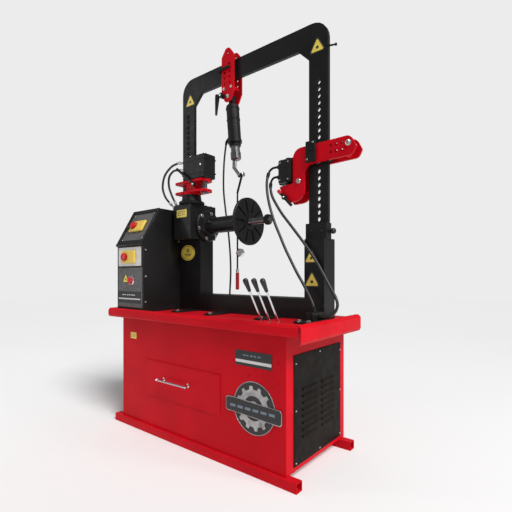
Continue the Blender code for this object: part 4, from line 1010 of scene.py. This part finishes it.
def build_top_unit():
    nuts = []
    for y, outward in ((PLATES[0] - GAP, TO_FRONT), (PLATES[1] + GAP, TO_REAR)):
        nuts += bolt((TOP_PIN.x, y, TOP_PIN.z), outward, 0.0080)
        for x in (-0.031, 0.021):
            nuts += bolt((x, y, 1.8455), outward, 0.0055)
    nuts += bolt((-0.001, PLATES[1] + GAP, 2.0125), TO_REAR, 0.0070)
    piece("top_bracket_nuts", nuts, ZINC, "top_carriage")
    place_down = aim(TOP_PIN, TOP_DOWN)
    rings = [
        turned(
            [(0.0345, a), (0.0368, a), (0.0375, a + 0.001), (0.0375, b - 0.001), (0.0368, b), (0.0345, b)],
            28, place_down,
        )
        for a, b in ((0.056, 0.064), (0.120, 0.124))
    ]
    studs = [
        rod(0.0030, place_down @ Vector((*inner, 0.242)), place_down @ Vector((*outer, 0.242)), 8)
        for inner, outer in zip(ring_points((0, 0), 0.0370, 8), ring_points((0, 0), 0.0396, 8))
    ]
    piece("top_cylinder_rings", rings + studs, BLACK, "top_cylinder")
    threads = []
    for k in range(6):
        a = 0.253 + 0.0024 * k
        threads.append(turned([(0.0300, a), (0.0318, a + 0.0006), (0.0300, a + 0.0012)], 28, place_down))
    piece("top_gland_threads", threads, BLACK, "top_cylinder")
    port = [rod(0.0095, (-0.0225, 0.058, 1.586), (-0.0160, 0.058, 1.586), 6)]
    piece("top_port_boss", port, ZINC, "top_cylinder")
    pivot = Vector((-0.035, 0.0177, 1.806))
    nut = bolt(pivot + Vector((0, -0.0243, 0)), TO_FRONT, 0.0075, washer=False)
    piece("top_handle_nut", nut, ZINC, "top_clamp_handle")


def build_gauge():
    tip = TOP_PIN + TOP_DOWN * 0.335
    pivot = tip + Vector((0.018, 0.022, -0.086))
    dial = Vector((-0.018, 0.140, 0.962))
    bezel = [(0.0190, -0.0075), (0.0240, -0.0075), (0.0240, 0.0095), (0.0205, 0.0105), (0.0190, 0.0088)]
    piece("gauge_bezel", [turned(bezel, 32, aim(dial, TO_FRONT))], CHROME, "gauge")
    face = [(0, 0.0062), (0.0188, 0.0062), (0.0188, 0.0072), (0, 0.0072)]
    piece("gauge_face", [turned(face, 32, aim(dial, TO_FRONT))], LABEL_PALE, "gauge")
    marks = []
    for x, z in ring_points((0, 0), 1.0, 12):
        inner, outer = (dial + Vector((x * reach, -0.0074, z * reach)) for reach in (0.014, 0.0175))
        marks.append(rod(0.0004, inner, outer, 6))
    marks.append(rod(0.0005, dial + Vector((0, -0.0076, 0)), dial + Vector((0.008, -0.0076, 0.010)), 6))
    piece("gauge_marks", marks, PRINT_DARK, "gauge")
    collar = [(0.0050, 0), (0.0088, 0), (0.0092, 0.001), (0.0092, 0.017), (0.0070, 0.022), (0.0050, 0.022)]
    foot = Vector((-0.040, 0.140, 0.8502))
    piece("gauge_collar", [turned(collar, 20, aim(foot, UP))], LABEL_PALE, "gauge")
    caps = [
        rod(0.0125, pivot + Vector((x, 0, 0)), pivot + Vector((x + math.copysign(0.003, x), 0, 0)), 18)
        for x in (-0.0152, 0.0152)
    ]
    piece("gauge_pivot_caps", caps, ZINC, "gauge")


# ---- Valve levers ----
def build_levers():
    lean = Vector((0, -math.sin(LEVER_LEAN), math.cos(LEVER_LEAN)))
    for name, x in zip(("left", "middle", "right"), LEVER_X):
        foot = Vector((x, *LEVER_FOOT))
        upright = aim(foot + lean * 0.004, lean)
        body = f"{name}_valve_lever"
        stem = [(0, 0), (0.0048, 0), (0.0048, 0.030), (0.0040, 0.034), (0.0040, 0.200), (0, 0.200)]
        barrel = [
            (0, -0.0085), (0.0070, -0.0085), (0.0080, -0.0075), (0.0080, 0.0075), (0.0070, 0.0085),
            (0, 0.0085),
        ]
        shapes = [turned(stem, 18, upright), turned(barrel, 18, aim(foot, TO_RIGHT))]
        rod_piece = piece(f"{name}_lever_rod", shapes, CHROME, body)
        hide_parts(body)
        grip = [
            (0, 0.192), (0.0062, 0.192), (0.0070, 0.194), (0.0078, 0.206), (0.0094, 0.222),
            (0.0108, 0.236), (0.0110, 0.242), (0.0100, 0.2465), (0.0070, 0.2495), (0, 0.2505),
        ]
        piece(f"{name}_lever_knob", [turned(grip, 22, upright)], PLASTIC, body)
    edge = rectangle((0.415, 0.530), (-0.262, -0.200))
    slots = [rectangle((x - 0.0092, x + 0.0092), (-0.2562, -0.2058)) for x in LEVER_X]
    slotted = prism([edge, *slots], "Z", FLOOR_TOP + GAP, FLOOR_TOP + 0.0016)
    piece("lever_slot_plate", [slotted], ENAMEL, bevel=0.0004)


# ---- Portal ----
def build_portal():
    for name, centre, side, face in (
        ("portal_right", (0.530, 1.882), 0.074, PORTAL_FACE),
        ("portal_left", (-0.330, 1.868), 0.078, PORTAL_FACE),
        ("socket_upper", (0.522, 0.914), 0.068, SOCKET_FACE),
        ("socket_lower", (0.525, 0.808), 0.074, SOCKET_FACE),
    ):
        label_triangle(f"{name}_label", centre, side, face - GAP)
    hook = [
        rod(0.0040, (0.5845, 0.055, 1.872), (0.6180, 0.055, 1.866), 12),
        rod(0.0065, (0.6160, 0.055, 1.8664), (0.6220, 0.055, 1.8653), 14),
    ]
    piece("portal_pin", hook, BLACK)
    collar_bolts = []
    for x in (0.510, 0.562):
        collar_bolts += bolt((x, COLLAR_FACE - GAP, 1.035), TO_FRONT, 0.0060)
    piece("collar_bolts", collar_bolts, BLACK)


build_hoses()
build_badge()
build_cabinet()
build_vents()
build_feet()
build_casing()
build_oval_label()
build_gearbox()
build_spindle()
build_left_arm()
build_right_arm()
build_top_unit()
build_gauge()
build_levers()
build_portal()

EDGES = {  # CAD nodes whose sharp edges get a round
    0.0016: ("portal_frame", "right_arm_plates", "left_arm_fork", "top_bracket_plates", "gearbox_housing",
             "base_beam", "right_socket", "left_pedestal", "right_clamp_block", "headstock_casing"),
    0.0010: ("front_skid_tube", "rear_skid_tube", "cabinet_shell", "right_cylinder", "left_cylinder",
             "right_collar", "speed_lever", "top_clamp_clip", "right_clamp_strap"),
}
for width, names in EDGES.items():
    for name in names:
        soften(NODES[name], width)

# ---- Stage and lights ----
FLOOR_HALF = 14.0
FLOOR_Z = -0.0005  # a hair under the skids
floor_mesh = bpy.data.meshes.new("floor")
corners = [(a * FLOOR_HALF, b * FLOOR_HALF, FLOOR_Z) for a, b in ((-1, -1), (1, -1), (1, 1), (-1, 1))]
floor_mesh.from_pydata(corners, [], [(0, 1, 2, 3)])
floor_mesh.materials.append(FLOOR)
floor = add_object("floor", floor_mesh)

BACKDROP = 0.84  # what the camera sees behind the machine
AMBIENT = 0.27  # what lights the machine from all round
world = bpy.data.worlds.new("studio")
world.use_nodes = True
sky = world.node_tree
seen = node(sky, "ShaderNodeBackground")
seen.inputs["Color"].default_value = (BACKDROP, BACKDROP, BACKDROP, 1.0)
lit = sky.nodes["Background"]
lit.inputs["Color"].default_value = (AMBIENT, AMBIENT, AMBIENT, 1.0)
choice = node(sky, "ShaderNodeMixShader")
sky.links.new(node(sky, "ShaderNodeLightPath").outputs["Is Camera Ray"], choice.inputs["Fac"])
sky.links.new(lit.outputs["Background"], choice.inputs[1])
sky.links.new(seen.outputs["Background"], choice.inputs[2])
sky.links.new(choice.outputs["Shader"], sky.nodes["World Output"].inputs["Surface"])
bpy.context.scene.world = world


def lamp(name, data, at, target):
    made = add_object(name, data)
    made.location = Vector(at)
    made.rotation_mode = "QUATERNION"
    made.rotation_quaternion = (Vector(target) - Vector(at)).to_track_quat("-Z", "Y")


def softbox(name, at, target, size, power):
    data = bpy.data.lights.new(name, "AREA")
    data.shape = "RECTANGLE"
    data.size, data.size_y = size
    data.energy = power
    lamp(name, data, at, target)


sun = bpy.data.lights.new("key", "SUN")
sun.energy = 3.0
sun.angle = math.radians(24)
lamp("key", sun, (3.0, -0.9, 3.4), (0.0, 0.0, 0.0))
softbox("left_strip", (-2.6, -2.2, 2.2), (-0.2, 0.0, 1.1), (0.5, 2.6), 12.0)
softbox("right_strip", (3.2, 0.6, 1.9), (0.3, 0.0, 1.1), (0.5, 2.4), 22.0)
